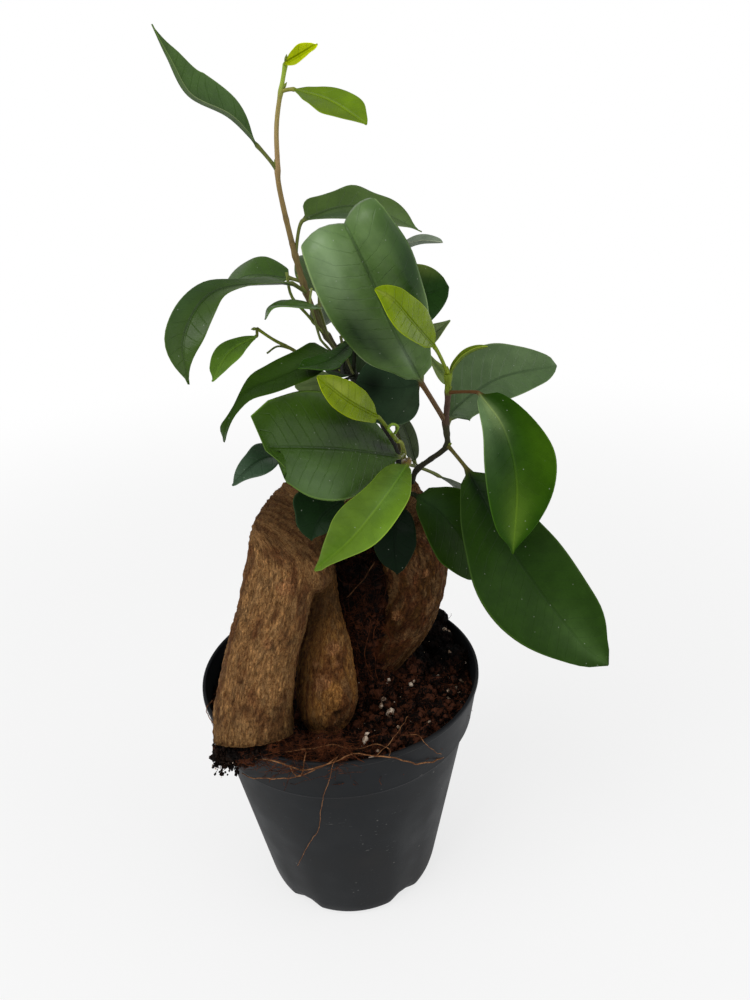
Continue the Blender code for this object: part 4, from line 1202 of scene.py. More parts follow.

# %% [markdown]
# ## Stems
# The stems are thin green-brown shoots with a swollen ring at every node, where a leaf sits or
# once sat. Each is a tube whose radius follows its taper and those rings. The tone is kept on
# the points, because the bark changes from brown at the foot to green at the growing tip, and
# the near-black feet of the leader, the left twig and the side shoot are painted shade.

# %% Stem table
STEMS = {
    "leader": ([(31, 4, 195), (22, 4, 220), (6.8, 1.8, 248), (0.4, 1, 259.8), (-4.6, 0, 277),
                (-9, -2, 303), (-9, -3, 313), (-8, -4, 325), (-4, -6, 340)], 3.7, 1.6),
    "right_branch": ([(33, -2, 195), (34.4, -4.6, 201), (39.5, -6.5, 205.9), (43.5, -8, 209.3),
                      (45.6, -10, 212.8),
                      (45.3, -11, 217.1), (44.7, -12, 222.4), (45, -13, 228.5), (45.2, -14, 234.4),
                      (44.9, -15, 241.6)], 2.5, 2.5),
    "centre_twig": ([(30, -5, 195), (28, -18, 216), (25, -26, 222)], 2.4, 1.6),
    "back_shoot": ([(30, 7, 193), (30, 18, 214), (32, 24, 233), (32, 26, 253),
                    (30, 27, 266)], 3.2, 1.6),
    "low_twig": ([(22, -8, 192), (14, -21, 206), (4, -28, 209)], 2.2, 1.6),
}
TWIGS = {
    "left_twig": (0.31, [(-2, -6, 246), (-9, -9, 252), (-15, -14, 257), (-20, -18, 262)], 2.0, 1.2),
    "side_shoot": (0.33, [(2.1, -5, 252.5), (0.5, -5, 255.8), (-0.8, -5, 262.5), (-1.8, -5, 267.3),
                          (-0.9, -4, 272)],
                   1.2, 1.0),
}
# Painted shade: the near-black stops at the feet of the leader, the left twig and the side shoot.
STEM_TONES = {
    "leader": [(0, (22, 20, 10)), (0.34, (28, 30, 14)), (0.4, (56, 50, 24)), (0.47, (84, 74, 38)),
               (0.6, (122, 104, 60)),
               (0.78, (146, 122, 74)), (0.82, (168, 140, 94)), (0.93, (162, 148, 84)),
               (0.96, (150, 172, 60)), (1, (150, 176, 50))],
    "right_branch": [(0, (28, 26, 4)), (0.42, (36, 36, 6)), (0.6, (50, 50, 20)),
                     (0.65, (68, 47, 33)),
                     (0.85, (76, 52, 38)), (0.88, (106, 122, 10)), (1, (118, 140, 20))],
    "centre_twig": [(0, (60, 52, 24)), (0.6, (120, 126, 44)), (1, (140, 152, 44))],
    "back_shoot": [(0, (60, 50, 28)), (1, (106, 112, 52))],
    "low_twig": [(0, (58, 48, 28)), (1, (84, 88, 40))],
    "left_twig": [(0, (24, 26, 10)), (0.4, (40, 44, 16)), (0.6, (104, 108, 38)),
                  (1, (128, 146, 34))],
    "side_shoot": [(0, (24, 26, 10)), (0.3, (60, 66, 30)), (0.45, (112, 126, 62)),
                   (1, (146, 158, 84))],
}
STEM_STEP = 0.9          # millimetres between a stem's cross-sections
STEM_SLIMNESS = 0.84     # a stem between its rings, as a share of the listed widths


class Stem:
    """A tapered stem's centre line, which leaf stalks start from."""

    def __init__(self, points, foot, tip):
        coarse = smooth_route(points, 200)
        length = np.linalg.norm(np.diff(coarse, axis=0), axis=1).sum()
        self.route = smooth_route(points, max(12, int(length / STEM_STEP)))
        self.along = directions(self.route)
        self.radius = np.linspace(foot, tip, len(self.route)) / 2 * STEM_SLIMNESS
        self.length = length

    def at(self, share):
        place = share * (len(self.route) - 1)
        low = min(int(place), len(self.route) - 2)
        part = place - low
        return self.route[low] * (1 - part) + self.route[low + 1] * part, self.along[low]


stems = {name: Stem(*row) for name, row in STEMS.items()}
for name, (share, points, foot, tip) in TWIGS.items():
    stems[name] = Stem([tuple(stems["leader"].at(share)[0])] + points, foot, tip)
print("stem lengths:", {name: round(stem.length) for name, stem in stems.items()})

# %% [markdown]
# ## Leaves
# A leaf of this fig is a stiff glossy oval on a short round stalk. It could be a flat cut-out
# bent by a curve, but a skin over cross-sections gives each leaf its own midrib, fold, twist
# and uneven edges. Each row of the table is one leaf: where it sits, the line of its midrib,
# its width, the way its upper side faces, and its tone.

# %% Leaf table
# Shares of a blade's length, from its base to its tip, where an uneven blade's widths are given.
EDGE_SHARES = (0.05, 0.12, 0.22, 0.34, 0.46, 0.58, 0.7, 0.8, 0.88, 0.94, 0.98)


def leaf(name, stem, share, midrib, width, face, tone, fold=(12, 12), twist=0, left=None,
         right=None, stalk=0.72, age="mature", stalk_tone=(104, 112, 50), bend=0.18, arch=0.03):
    """One leaf's values. left and right are the half widths of an uneven blade at EDGE_SHARES."""
    return {"name": name, "stem": stem, "share": share, "midrib": midrib, "width": width,
            "face": face, "tone": tone, "fold": fold, "twist": twist, "left": left, "right": right,
            "stalk": stalk, "age": age, "stalk_tone": stalk_tone, "bend": bend, "arch": arch}


# Most leaves whose age is shaded carry painted shade in their dark tones, and the near-black stalk
# tone (22, 28, 10) is painted shade.
LEAVES = [
    leaf("leader_leaf_tip", "leader", 1.0, [(-4, -8, 340), (1, -11, 342), (6, -16, 344)], 7,
         (-80, 15),
         (180, 197, 2), fold=(25, 25), left=(0.3, 1.3, 2, 2.5, 2.8, 2.7, 2.2, 1.6, 1.1, 0.3, 0.3),
         right=(1, 1.5, 2.1, 2.2, 2, 1.6, 1.3, 1.1, 1.1, 0.9, 0.6), stalk=0.5, age="young",
         stalk_tone=(140, 160, 40)),
    leaf("leader_leaf_high_left", "leader", 0.8,
         [(-15.1, -3.6, 317.6), (-23, -8.2, 325.9), (-33.8, -14, 332), (-37.9, -18.6, 341.9),
          (-40.3, -22.2, 349.7)],
         19, (-70, 10), (68, 100, 30), fold=(100, 5),
         left=(1.4, 2.1, 2.6, 2.8, 2.8, 2.5, 2.1, 1.6, 1.1, 0.6, 0.3),
         right=(0.9, 3, 5.4, 7.3, 8.4, 8.2, 6.4, 4.2, 2.2, 1, 0.3), stalk=0.64),
    leaf("leader_leaf_high_right", "leader", 0.95, [(-2, -7, 333), (9, -15, 329), (19, -24, 322)],
         17,
         (-80, 40), (97, 123, 4), fold=(10, 15),
         left=(1, 2.3, 3, 4.3, 5.4, 6, 6, 5.2, 3.5, 2.2, 1.1),
         right=(1.1, 2.3, 4.5, 6, 7.2, 7.5, 5.7, 4.1, 2.2, 1, 0.3), stalk=0.58, age="bright",
         stalk_tone=(140, 140, 60)),
    leaf("leader_leaf_right", "leader", 0.62,
         [(-2, 0, 294), (11, 6, 297), (22.9, 9.3, 295.3), (39.9, 11, 287.1)], 24, (-80, 45),
         (72, 98, 35), fold=(0, 40), left=(4.8, 7.1, 6.7, 7.4, 9.6, 8.3, 8.4, 7.1, 4.6, 0.8, 0.3),
         right=(2.2, 6.2, 12.5, 18, 19.8, 20.2, 16.2, 10, 3.8, 0.7, 0.6), stalk=0.588),
    leaf("leader_leaf_left", "leader", 0.535,
         [(-7.5, -8.4, 274.6), (-31, -24.8, 276.1), (-41.1, -36.4, 265.1), (-41, -42, 251)], 16,
         (-110, 40), (60, 87, 20), fold=(20, 20), twist=-60, bend=0.04,
         left=(2, 3.5, 4.5, 5, 5.5, 7.7, 7.5, 6.2, 2.9, 0.6, 0.3),
         right=(6.3, 6.2, 4.3, 3.5, 5.2, 5.7, 6, 5.9, 4.4, 2.5, 0.6)),
    leaf("leader_leaf_left_back", "leader", 0.56,
         [(-8, 0.8, 274.9), (-21, 4.2, 276.1), (-29, 8, 273), (-36.2, 10, 266)], 22, (-90, 70),
         (55, 88, 5), left=(5.8, 7.6, 9.7, 11.2, 10, 8.9, 8.1, 7.4, 6.4, 4.5, 2.5),
         right=(4.5, 6.6, 8.9, 10.5, 10.5, 10.6, 10.9, 7.2, 3.4, 2.3, 1.3), stalk=0.64, bend=0.04),
    leaf("leader_leaf_narrow", "leader", 0.42,
         [(1, -8, 266), (-6.1, -15, 268.1), (-15, -18, 269), (-17, -19, 265)], 8, (-90, 85),
         (67, 105, 21), fold=(10, 10), left=(2.3, 4.4, 6.5, 8.9, 10, 7.9, 5.5, 5.7, 4.3, 2.1, 0.9),
         right=(4.5, 5.6, 6.3, 5.9, 5.5, 5.4, 3, 0.6, 0.3, 0.3, 0.3), stalk=0.58, bend=0.04),
    leaf("leader_leaf_curled", "leader", 0.3, [(11.3, -20, 255.5), (3, -34, 253.5), (-7, -42, 254)],
         9,
         (-90, 80), (36, 69, 4), fold=(10, 10),
         left=(1, 2, 3.2, 4.4, 5, 6.1, 8.7, 9.6, 7.9, 2.3, 1.3),
         right=(3, 2.7, 3, 3.9, 4.7, 5.3, 5.7, 5.3, 3.4, 1.4, 0.5), age="shaded",
         stalk_tone=(22, 28, 10)),
    leaf("leader_leaf_shaded", "leader", 0.2, [(22, 9, 246), (12, 10, 243), (2, 12, 238)], 14,
         (-90, 30), (38, 58, 26), age="shaded",
         stalk_tone=(22, 28, 10)),
    leaf("leader_leaf_back", "leader", 0.45, [(2, 8, 268), (6, 24, 277), (10, 40, 275)], 24,
         (80, 70),
         (66, 88, 44)),
    leaf("left_leaf_bright", "left_twig", 1.0, [(-20.3, -20.1, 260), (-29, -28, 257),
                                                (-35, -33, 249)],
         10, (-90, 45), (101, 140, 41), fold=(15, 15),
         left=(1, 1.3, 2.4, 3.6, 4.7, 4.6, 3.6, 2.7, 1.7, 1.1, 0.6),
         right=(0.8, 1.6, 2.4, 3.1, 3.7, 4.1, 3.9, 3.2, 2.4, 0.6, 0.3), stalk=0.5, age="bright"),
    leaf("left_leaf_long", "left_twig", 0.1,
         [(7.3, -20.4, 251.8), (-3, -32, 252), (-13, -41, 251), (-23, -47, 249),
          (-27.2, -49.9, 245), (-30.1, -49.6, 238.6), (-31.9, -46.1, 232.9)],
         18, (-100, 65), (40, 67, 2), left=(0.3, 1.5, 5.2, 7.4, 7.8, 7.9, 4.7, 2, 0.9, 0.8, 0.6),
         right=(9.5, 9.7, 8.6, 7.6, 7, 5.9, 0.8, 0.6, 2.4, 2.6, 0.3), age="shaded",
         stalk_tone=(22, 28, 10)),
    leaf("left_leaf_small", "left_twig", 0.3, [(-7, -13, 249), (-14, -15, 248)], 5, (-90, 45),
         (60, 84, 36), stalk=0.5),
    leaf("centre_leaf_large", "centre_twig", 0.6,
         [(26, -22, 214), (6, -42, 226), (-14.2, -54.8, 233.1), (-16.8, -59.1, 234),
          (-12.6, -60.7, 228.6)],
         38, (-90, 32), (55, 87, 8), left=(3, 5.6, 9.2, 13.1, 16.7, 18.3, 16.8, 12.5, 9.7, 6, 3),
         right=(3.4, 6.8, 10.7, 14.1, 16.5, 18.2, 17.8, 15.7, 13, 0.3, 0.3)),
    leaf("centre_leaf_young", "centre_twig", 1.0,
         [(18.1, -34.2, 233.8), (8, -50, 245), (-1, -60, 256)], 14, (-60, 20), (123, 145, 1),
         left=(2.5, 3, 3.6, 4.3, 5, 5.3, 5.6, 5.4, 4.1, 2.9, 1.1),
         right=(0.8, 3, 4.4, 5.6, 5.7, 6, 5.1, 4.2, 3.1, 1.6, 0.9), stalk=0.64, age="young",
         stalk_tone=(120, 134, 44)),
    leaf("centre_leaf_front", "centre_twig", 0.45,
         [(27.3, -39.4, 218.2), (18, -57, 215), (6, -69, 207), (-5.9, -76.2, 200.8)], 23,
         (-110, 45),
         (87, 115, 30), fold=(15, 15), left=(2, 3.5, 5.3, 7.7, 8.7, 8.9, 7.8, 5, 3, 1.7, 1.6),
         right=(3.8, 5.5, 6.6, 6.7, 7.5, 9.1, 8.8, 6.5, 4.2, 1.7, 0.9), age="bright",
         stalk_tone=(118, 96, 52)),
    leaf("centre_leaf_shaded", "leader", 0.3, [(5, -15, 241), (0, -18, 242), (-9, -21, 242)], 10,
         (-90, 45), (111, 129, 79), fold=(8, 8), stalk=0.58, age="shaded",
         stalk_tone=(22, 28, 10)),
    leaf("right_leaf_front", "right_branch", 0.645,
         [(35, -20.5, 240.8), (27.5, -28, 255.7), (20.9, -34, 270.9), (16.6, -38.5, 281.5),
          (12.1, -42, 291.9), (10.7, -40.5, 294.8), (10.2, -37.7, 295.7), (12.6, -30.8, 290.5),
          (16.5, -23, 282.2)],
         34, (-95, 11), (98, 129, 68), fold=(10, 10),
         left=(4.1, 6.9, 12.9, 15.6, 17, 17, 15.5, 12.5, 8, 4, 2),
         right=(5.4, 7.4, 10.4, 13.4, 14.3, 14.8, 12.6, 9.5, 7.5, 4.5, 2), stalk=0.585,
         stalk_tone=(104, 78, 48), bend=0.1, arch=0.22),
    leaf("right_leaf_young", "right_branch", 1.0,
         [(38.4, -27.8, 254.6), (28.7, -44, 267.3), (22.6, -52, 275.3), (17.2, -55, 279.1)],
         15, (-60, 20), (120, 144, 1), fold=(12, 12),
         left=(0.9, 2.1, 3.7, 4.7, 5.8, 6.7, 7.6, 7.7, 6.3, 2.9, 1.1),
         right=(3.1, 4.5, 6, 6.8, 6.8, 6.5, 5.4, 4.6, 3.4, 2.5, 1.2), stalk=0.64, age="young",
         stalk_tone=(134, 152, 40)),
    leaf("right_leaf_folded", "right_branch", 0.96,
         [(46.2, -14, 241.2), (48.3, -14, 244.2), (51.4, -14, 247.3), (54.9, -14, 249.1),
          (59.4, -14, 250.2)],
         5, (-60, 78), (112, 134, 30), fold=(60, 60), stalk=0.58, age="young",
         stalk_tone=(128, 148, 40)),
    leaf("right_leaf_back", "right_branch", 0.55,
         [(48.4, 1.4, 218.6), (51.6, 3, 223.3), (69, 8, 232), (91.9, 9.2, 235.2)],
         27, (-90, 45), (82, 107, 65),
         left=(0.5, 3.7, 9.4, 14.7, 15.1, 14, 11.5, 9.3, 7.1, 5.2, 3.5),
         right=(8.8, 7.8, 8.5, 9.7, 10.6, 10.6, 9.6, 8.1, 6.7, 4.5, 2)),
    leaf("right_leaf_outer", "right_branch", 0.865,
         [(53.6, -26.6, 237.6), (59.9, -38.8, 228.2), (62, -49.9, 213.2), (60, -56, 190)], 27,
         (-75, 30), (34, 69, 1), fold=(20, 20),
         left=(5.3, 7.4, 9.4, 12.4, 14.2, 13.3, 11.1, 8.3, 5.2, 2.3, 0.6),
         right=(2.8, 5.7, 8.8, 11.2, 13.2, 13.6, 12.3, 10, 7, 2.5, 0.8), stalk=0.58,
         age="deep_bright",
         stalk_tone=(104, 72, 44), bend=0.05),
    leaf("right_leaf_low", "right_branch", 0.45,
         [(50.5, -22, 208), (64, -46, 183), (83, -62.2, 156.9), (92, -68, 150)], 34, (-100, 50),
         (38, 65, 14), left=(4.9, 7.8, 11.3, 13.4, 15.2, 15.7, 15, 13.7, 10.8, 7.7, 3.5),
         right=(4.6, 8, 12.4, 16.3, 20.5, 20.9, 18.1, 13.5, 8.6, 4.6, 1.7), stalk_tone=(96, 90, 46),
         bend=0.05, age="shaded"),
    leaf("right_leaf_shaded", "right_branch", 0.62, [(36.5, -4, 235), (26, -3, 234), (13, -1, 237)],
         28,
         (-90, 10), (47, 70, 46), stalk=0.5, age="shaded", stalk_tone=(104, 78, 48), bend=0.03),
    leaf("crown_leaf_small", "right_branch", 0.15, [(35, 6, 200.5), (32.8, 8, 210), (28.8, 9, 221)],
         8,
         (-60, 10), (54, 70, 32)),
    leaf("low_leaf_right", "low_twig", 0.22,
         [(31.9, -22.7, 198.6), (42, -27, 191), (56, -28.8, 168.1)], 34, (-80, 40), (33, 59, 2),
         left=(5, 6.6, 10.4, 13.3, 14, 12.9, 12.1, 9.9, 7.2, 5.5, 3.6),
         right=(3.8, 6.9, 9.7, 12.1, 13, 13.4, 12.1, 10.6, 9, 7.5, 5.9), age="shaded",
         stalk_tone=(22, 28, 10)),
    leaf("low_leaf_middle", "low_twig", 0.5, [(26, -21.9, 196), (23.1, -29.3, 187.6),
                                              (23, -33, 172)],
         17, (-100, 20), (3, 23, 4), left=(0.3, 4.1, 6.2, 7.5, 8, 8, 6.7, 5.1, 3.7, 2.5, 0.8),
         right=(0.3, 3.6, 5, 6.3, 6.7, 8, 7.2, 5.8, 4, 1.5, 0.6), age="shaded"),
    leaf("low_leaf_left", "low_twig", 0.8, [(5, -32.2, 203.5), (-3, -40, 201), (-7, -45.1, 195)],
         20,
         (-100, 40), (26, 48, 23), left=(1.3, 2.4, 3.5, 5, 6, 5.9, 5.2, 4.4, 2.6, 0.6, 0.3),
         right=(4.5, 6.4, 7.8, 9.7, 11.7, 11.9, 8.5, 7.2, 5.6, 4.1, 2.3), age="shaded"),
    leaf("low_leaf_far_left", "low_twig", 1.0, [(-11, -37.8, 223.5), (-21, -47, 226),
                                                (-30, -54, 221)],
         13, (-120, 40), (56, 80, 56), left=(0.3, 0.3, 0.8, 3.6, 6, 7, 5.9, 3.3, 1.8, 1.2, 0.8),
         right=(0.6, 4.4, 6.2, 6.8, 6.5, 5, 4.2, 3.3, 2.3, 1.2, 0.3)),
    leaf("back_leaf_high", "back_shoot", 0.9, [(28, 28, 275), (39, 24, 281), (49, 20, 282)], 12,
         (-60, 80), (127, 141, 119), fold=(30, 30)),
    leaf("back_leaf_upper", "back_shoot", 0.8, [(21, 14, 255), (36, 16, 262), (50, 12, 267)], 28,
         (-70, 40), (31, 62, 16), fold=(15, 15), age="shaded"),
    leaf("back_leaf_side", "back_shoot", 0.6, [(32, 18, 238), (41, 17, 246), (51, 15, 254)], 15,
         (-70, 40), (140, 160, 102), fold=(15, 15),
         left=(2, 4, 5.5, 6, 5.5, 4.8, 3.8, 2.6, 1.6, 0.9, 0.5),
         right=(1.4, 2.8, 3.9, 4.3, 4.1, 3.7, 3.1, 2.2, 1.4, 0.8, 0.5)),
    leaf("back_leaf_drooping", "back_shoot", 0.5, [(38, -5, 248.1), (42.7, -5, 241.4),
                                                   (47.5, -6, 235.5)], 12,
         (-90, 45), (108, 128, 60), left=(0.6, 0.8, 1, 1.3, 1.8, 2.3, 2.8, 3, 2.8, 2.2, 1.2),
         right=(0.6, 0.8, 1, 1.3, 1.8, 2.3, 2.8, 3, 2.8, 2.2, 1.2)),
    leaf("back_leaf_top", "back_shoot", 1.0, [(31, 33, 267), (34, 50, 266), (36, 66, 256)], 26,
         (80, 70), (60, 84, 40)),
    leaf("back_leaf_left", "back_shoot", 0.95, [(24, 34, 260), (12, 48, 256), (2, 62, 244)], 26,
         (120, 70), (54, 78, 36)),
    leaf("back_leaf_middle", "back_shoot", 0.6, [(32, 32, 236), (34, 50, 232), (36, 72, 216)], 28,
         (90, 70), (58, 82, 38)),
    leaf("back_leaf_low_left", "back_shoot", 0.35, [(20, 22, 214), (4, 34, 214), (-14, 44, 202)],
         28,
         (120, 60), (52, 74, 34)),
    leaf("back_leaf_low_right", "back_shoot", 0.08, [(47, 21, 187), (61, 29, 173), (73, 35, 156)],
         18,
         (40, 60), (56, 80, 36)),
]
print("leaves:", len(LEAVES))

# %% [markdown]
# ## Blade shape
# A blade's section is a soft V: the two halves lift from the midrib, and the edges wave a
# little. The skin goes over the upper side and back along the underside, so that every leaf is
# a thin closed solid. Each point also keeps where it lies on the leaf, in millimetres across
# and along, for the veins.

# %% Blade cross-sections
BLADE_SECTIONS, STALK_SECTIONS = 34, 10
BLADE_THICKNESS = 0.36
ACROSS = np.array([-1, -0.97, -0.88, -0.72, -0.52, -0.3, -0.1, 0, 0.1, 0.3, 0.52, 0.72, 0.88, 0.97,
                   1])
LEAST_HALF_WIDTH = 0.3


def half_width(s, widest, point):
    s = np.clip(s, 0.0, 1.0)
    return ((s / widest) ** widest * ((1 - s) / (1 - widest)) ** (1 - widest)) ** point


WIDEST, POINTEDNESS = 0.45, 1.0    # where an even blade is widest, and how it narrows


def half_widths(row, s):
    """The left and right half widths of a blade, a share s of the way to its tip."""
    if row["left"]:
        rows = zip((0, *EDGE_SHARES, 1), (0.4, *row["left"], 0.3), (0.4, *row["right"], 0.3))
        fine = smooth_route([(100 * share, left, right) for share, left, right in rows], 160)
        even = np.ones(13) / 13
        for k in (1, 2):
            fine[6:-6, k] = np.convolve(fine[:, k], even, "valid")
        return [max(LEAST_HALF_WIDTH, np.interp(100 * s, fine[:, 0], fine[:, k])) for k in (1, 2)]
    half = row["width"] / 2 * half_width(s, WIDEST, POINTEDNESS)
    return [max(half, LEAST_HALF_WIDTH)] * 2


def blade_ring(place, side, up, halves, fold, wave, arch):
    """One section of a blade: over its upper side, then back along its underside."""
    over, under = [], []
    for u in ACROSS:
        which = 0 if u < 0 else 1
        lift, reach = np.radians(fold[which]), halves[which]
        rise = np.sqrt(u * u + 0.02) - np.sqrt(0.02)
        swell = rise * np.sin(lift) + arch * np.sin(np.pi * abs(u)) ** 0.8
        height = reach * swell + wave[which] * u * u
        spot = place + reach * u * np.cos(lift) * side + height * up
        if abs(u) == 1:
            over.append(spot)
            continue
        normal = up * np.cos(lift) - np.sign(u) * side * np.sin(lift)
        depth = BLADE_THICKNESS / 2 * (1 - 0.35 * abs(u))
        over.append(spot + depth * normal)
        under.append(spot - depth * normal)
    return over + under[::-1]


def stalk_ring(place, side, up, radius):
    """One section of a stalk, with its points in a blade ring's order."""
    count = len(ACROSS)
    angles = [*np.linspace(np.pi, 0, count), *np.linspace(0, -np.pi, count)[1:-1]]
    return [place + radius * (np.cos(a) * side + np.sin(a) * up) for a in angles]


def stalk_route(stem, row, base, arrive):
    start, up = stem.at(row["share"])
    reach = np.linalg.norm(base - start)
    leave = unit(unit(base - start) + row["bend"] * up)
    a, b, c, d = start, start + leave * reach * 0.33, base - arrive * reach * row["bend"], base
    t = np.linspace(0, 1, STALK_SECTIONS + 1)[:-1, None]
    return (1 - t) ** 3 * a + 3 * t * (1 - t) ** 2 * b + 3 * t * t * (1 - t) * c + t ** 3 * d


def leaf_shell(row, seed):
    """A leaf's sections from the foot of its stalk to its tip, and each point's values."""
    random = np.random.default_rng(seed)
    blade = smooth_route(row["midrib"], BLADE_SECTIONS + 1)
    stalk = stalk_route(stems[row["stem"]], row, blade[0], unit(blade[1] - blade[0]))
    route = np.vstack([stalk, blade])
    along = directions(route)
    length = np.linalg.norm(np.diff(blade, axis=0), axis=1).sum()
    beats, phases = random.uniform(1.5, 3.0, 2), random.uniform(0, 6.28, 2)
    swing = 0.012 * row["width"]
    rings, values = [], []
    signed = np.concatenate([ACROSS, ACROSS[-2:0:-1]])
    under = np.concatenate([np.zeros(len(ACROSS)), np.ones(len(ACROSS) - 2)])
    under[[0, len(ACROSS) - 1]] = 0.5
    for i, up in enumerate(carried_normals(along, facing(*row["face"]),
                                           len(stalk) + BLADE_SECTIONS // 2)):
        s = (i - len(stalk)) / BLADE_SECTIONS
        turn = np.radians(row["twist"]) * (max(0, s) - 0.5)
        side = np.cross(along[i], up)
        up, side = up * np.cos(turn) + side * np.sin(turn), side * np.cos(turn) - up * np.sin(turn)
        if s <= 0:
            swell = 1 + 0.35 * bump(i, 0, 1.6) + 0.2 * bump(s * BLADE_SECTIONS, 0, 2)
            rings.append(stalk_ring(route[i], side, up, row["stalk"] * swell))
            halves = (row["stalk"], row["stalk"])
        else:
            halves = half_widths(row, s)
            thin = row["stalk"] * max(0, 1 - s * 14)
            halves = [max(half, thin) for half in halves]
            wave = swing * np.sin(beats * 6.28 * s + phases) * np.sin(np.pi * min(s, 1))
            arch = row["arch"] * (0.5 + 0.5 * bump(s, 0.6, 0.18))
            ring = np.array(blade_ring(route[i], side, up, halves, row["fold"], wave, arch))
            if thin > BLADE_THICKNESS / 2:
                round_ring = np.array(stalk_ring(route[i], side, up, row["stalk"]))
                share = min(1, s * 14)
                ring = ring * share + round_ring * (1 - share)
            rings.append(ring)
        reach = np.where(signed < 0, halves[0], halves[1])
        values += [(abs(u), s, low, u * r, s * length) for u, low, r in zip(signed, under, reach)]
    return skin(rings), np.array(values)


# %% [markdown]
# ## Leaf tones
# No leaf is one green. The base is darker, the edge and the midrib are paler, the underside is
# greyer, and some leaves carry patches: most are painted sheen or painted shade, a few are the
# leaf's own tone. These tones are worked out for each point and kept on it, and the material
# adds the veins.

# %% Leaf tones
# A patch is a share of the length, a signed share of the half width, its spread, a colour and a
# strength. Most patches are painted sheen or painted shade, a few the leaf's own tone.
SHEEN_SHADE_AND_TONE_PATCHES = {
    "back_leaf_upper": [(0.75, -0.95, 0.16, (112, 134, 60), 0.8)],
    "right_leaf_young": [(0.95, 0.0, 0.12, (150, 160, 70), 0.6),
                         (0.4, -0.5, 0.3, (96, 124, 1), 0.5)],
    "leader_leaf_high_left": [(0.4, -0.9, 0.35, (112, 126, 96), 0.6),
                              (0.4, 0.5, 0.4, (66, 102, 40), 0.5)],
    "leader_leaf_high_right": [(0.55, -0.6, 0.35, (112, 146, 8), 0.7),
                               (0.1, 0.6, 0.2, (84, 116, 24), 0.5)],
    "left_leaf_long": [(0.25, 0.3, 0.2, (76, 104, 52), 0.5), (0.55, -0.3, 0.25, (36, 62, 8), 0.6)],
    "left_leaf_bright": [(0.4, 0.6, 0.3, (70, 110, 24), 0.6)],
    "low_leaf_right": [(0.2, 0.0, 0.25, (52, 78, 46), 0.5)],
    "low_leaf_far_left": [(0.5, -0.6, 0.3, (44, 72, 44), 0.6)],
    "right_leaf_front": [(0.66, -0.6, 0.14, (136, 162, 118), 0.9),
                         (0.5, -0.5, 0.1, (110, 136, 90), 0.5),
                         (0.36, -0.7, 0.13, (16, 48, 1), 0.95), (0.26, -0.5, 0.1, (24, 56, 4), 0.8),
                         (0.15, 0, 0.07, (132, 152, 120), 0.9),
                         (0.76, 0.4, 0.1, (116, 140, 94), 0.6),
                         (0.6, 0.9, 0.14, (26, 60, 8), 0.8), (0.48, 0.8, 0.14, (14, 54, 0), 0.95)],
    "centre_leaf_large": [(0.15, 0.3, 0.16, (14, 34, 2), 0.95), (0.4, 0.4, 0.16, (18, 38, 2), 0.9),
                          (0.55, 0, 0.12, (34, 56, 10), 0.6), (0.62, 0.9, 0.2, (74, 104, 36), 0.7),
                          (0.75, -0.3, 0.16, (70, 98, 46), 0.6),
                          (0.65, -0.7, 0.16, (86, 114, 66), 0.7),
                          (0.9, 0.3, 0.12, (66, 92, 44), 0.5)],
    "right_leaf_outer": [(0.16, 0.75, 0.28, (118, 148, 98), 0.9),
                         (0.14, 0.2, 0.15, (146, 172, 112), 1), (0.45, 0.4, 0.22, (8, 46, 0), 0.75),
                         (0.85, 0, 0.25, (96, 128, 40), 0.7),
                         (0.45, -0.8, 0.2, (70, 106, 10), 0.5)],
    "right_leaf_back": [(0.75, -0.6, 0.3, (98, 120, 80), 0.5),
                        (0.12, 0.5, 0.2, (110, 134, 96), 0.8),
                        (0.4, 0.3, 0.15, (100, 126, 84), 0.5)],
    "right_leaf_low": [(0.08, 0, 0.2, (2, 26, 0), 0.9), (0.35, -0.2, 0.2, (14, 42, 0), 0.6),
                       (0.92, 0, 0.2, (68, 96, 46), 0.8)],
    "leader_leaf_curled": [(0.1, 0, 0.3, (8, 24, 2), 0.85)],
    "right_leaf_shaded": [(0.75, 0, 0.25, (4, 18, 4), 0.9), (0.2, -0.6, 0.25, (60, 78, 54), 0.8)],
    "leader_leaf_left": [(0.45, 0, 0.2, (42, 68, 10), 0.6), (0.68, -0.5, 0.25, (44, 72, 12), 0.5),
                         (0.55, 0.8, 0.3, (44, 70, 40), 0.6)],
    "leader_leaf_right": [(0.2, 0.6, 0.25, (48, 74, 44), 0.7), (0.75, 0, 0.3, (100, 126, 74), 0.5)],
    "centre_leaf_young": [(0.75, 0.4, 0.18, (160, 174, 70), 0.8),
                          (0.25, -0.4, 0.2, (96, 118, 2), 0.6),
                          (0.75, -0.5, 0.12, (92, 110, 2), 0.5),
                          (0.45, 0.3, 0.12, (140, 158, 40), 0.6)],
    "centre_leaf_front": [(0.5, -0.8, 0.3, (116, 154, 40), 0.7),
                          (0.35, -0.1, 0.2, (108, 144, 66), 0.5),
                          (0.9, 0.2, 0.2, (76, 112, 2), 0.7), (0.12, 0, 0.15, (80, 124, 34), 0.5)],
}


def leaf_tones(row, values):
    u, s, under = values[:, 0], values[:, 1], values[:, 2]
    tone = np.array(linear(row["tone"]))
    tones = np.tile(tone, (len(values), 1))
    signed = np.sign(values[:, 3]) * u
    # Painted sheen and painted shade, with a few patches of the leaf's own tone.
    for middle, side, spread, colour, strength in SHEEN_SHADE_AND_TONE_PATCHES.get(row["name"], []):
        share = strength * np.exp(-((s - middle) ** 2 + ((signed - side) * 0.5) ** 2) / spread ** 2)
        tones = tones * (1 - share[:, None]) + np.array(linear(colour)) * share[:, None]
    tones *= (0.86 + 0.2 * np.clip(s, 0, 1))[:, None]
    grey = np.array(linear((108, 124, 86)))
    pale = (0.3 * under)[:, None]
    tones = tones * (1 - pale) + (0.5 * tones + 0.5 * grey) * pale
    stalk = np.clip(1 - s * 30, 0, 1)[:, None]
    return tones * (1 - stalk) + np.array(linear(row["stalk_tone"])) * stalk
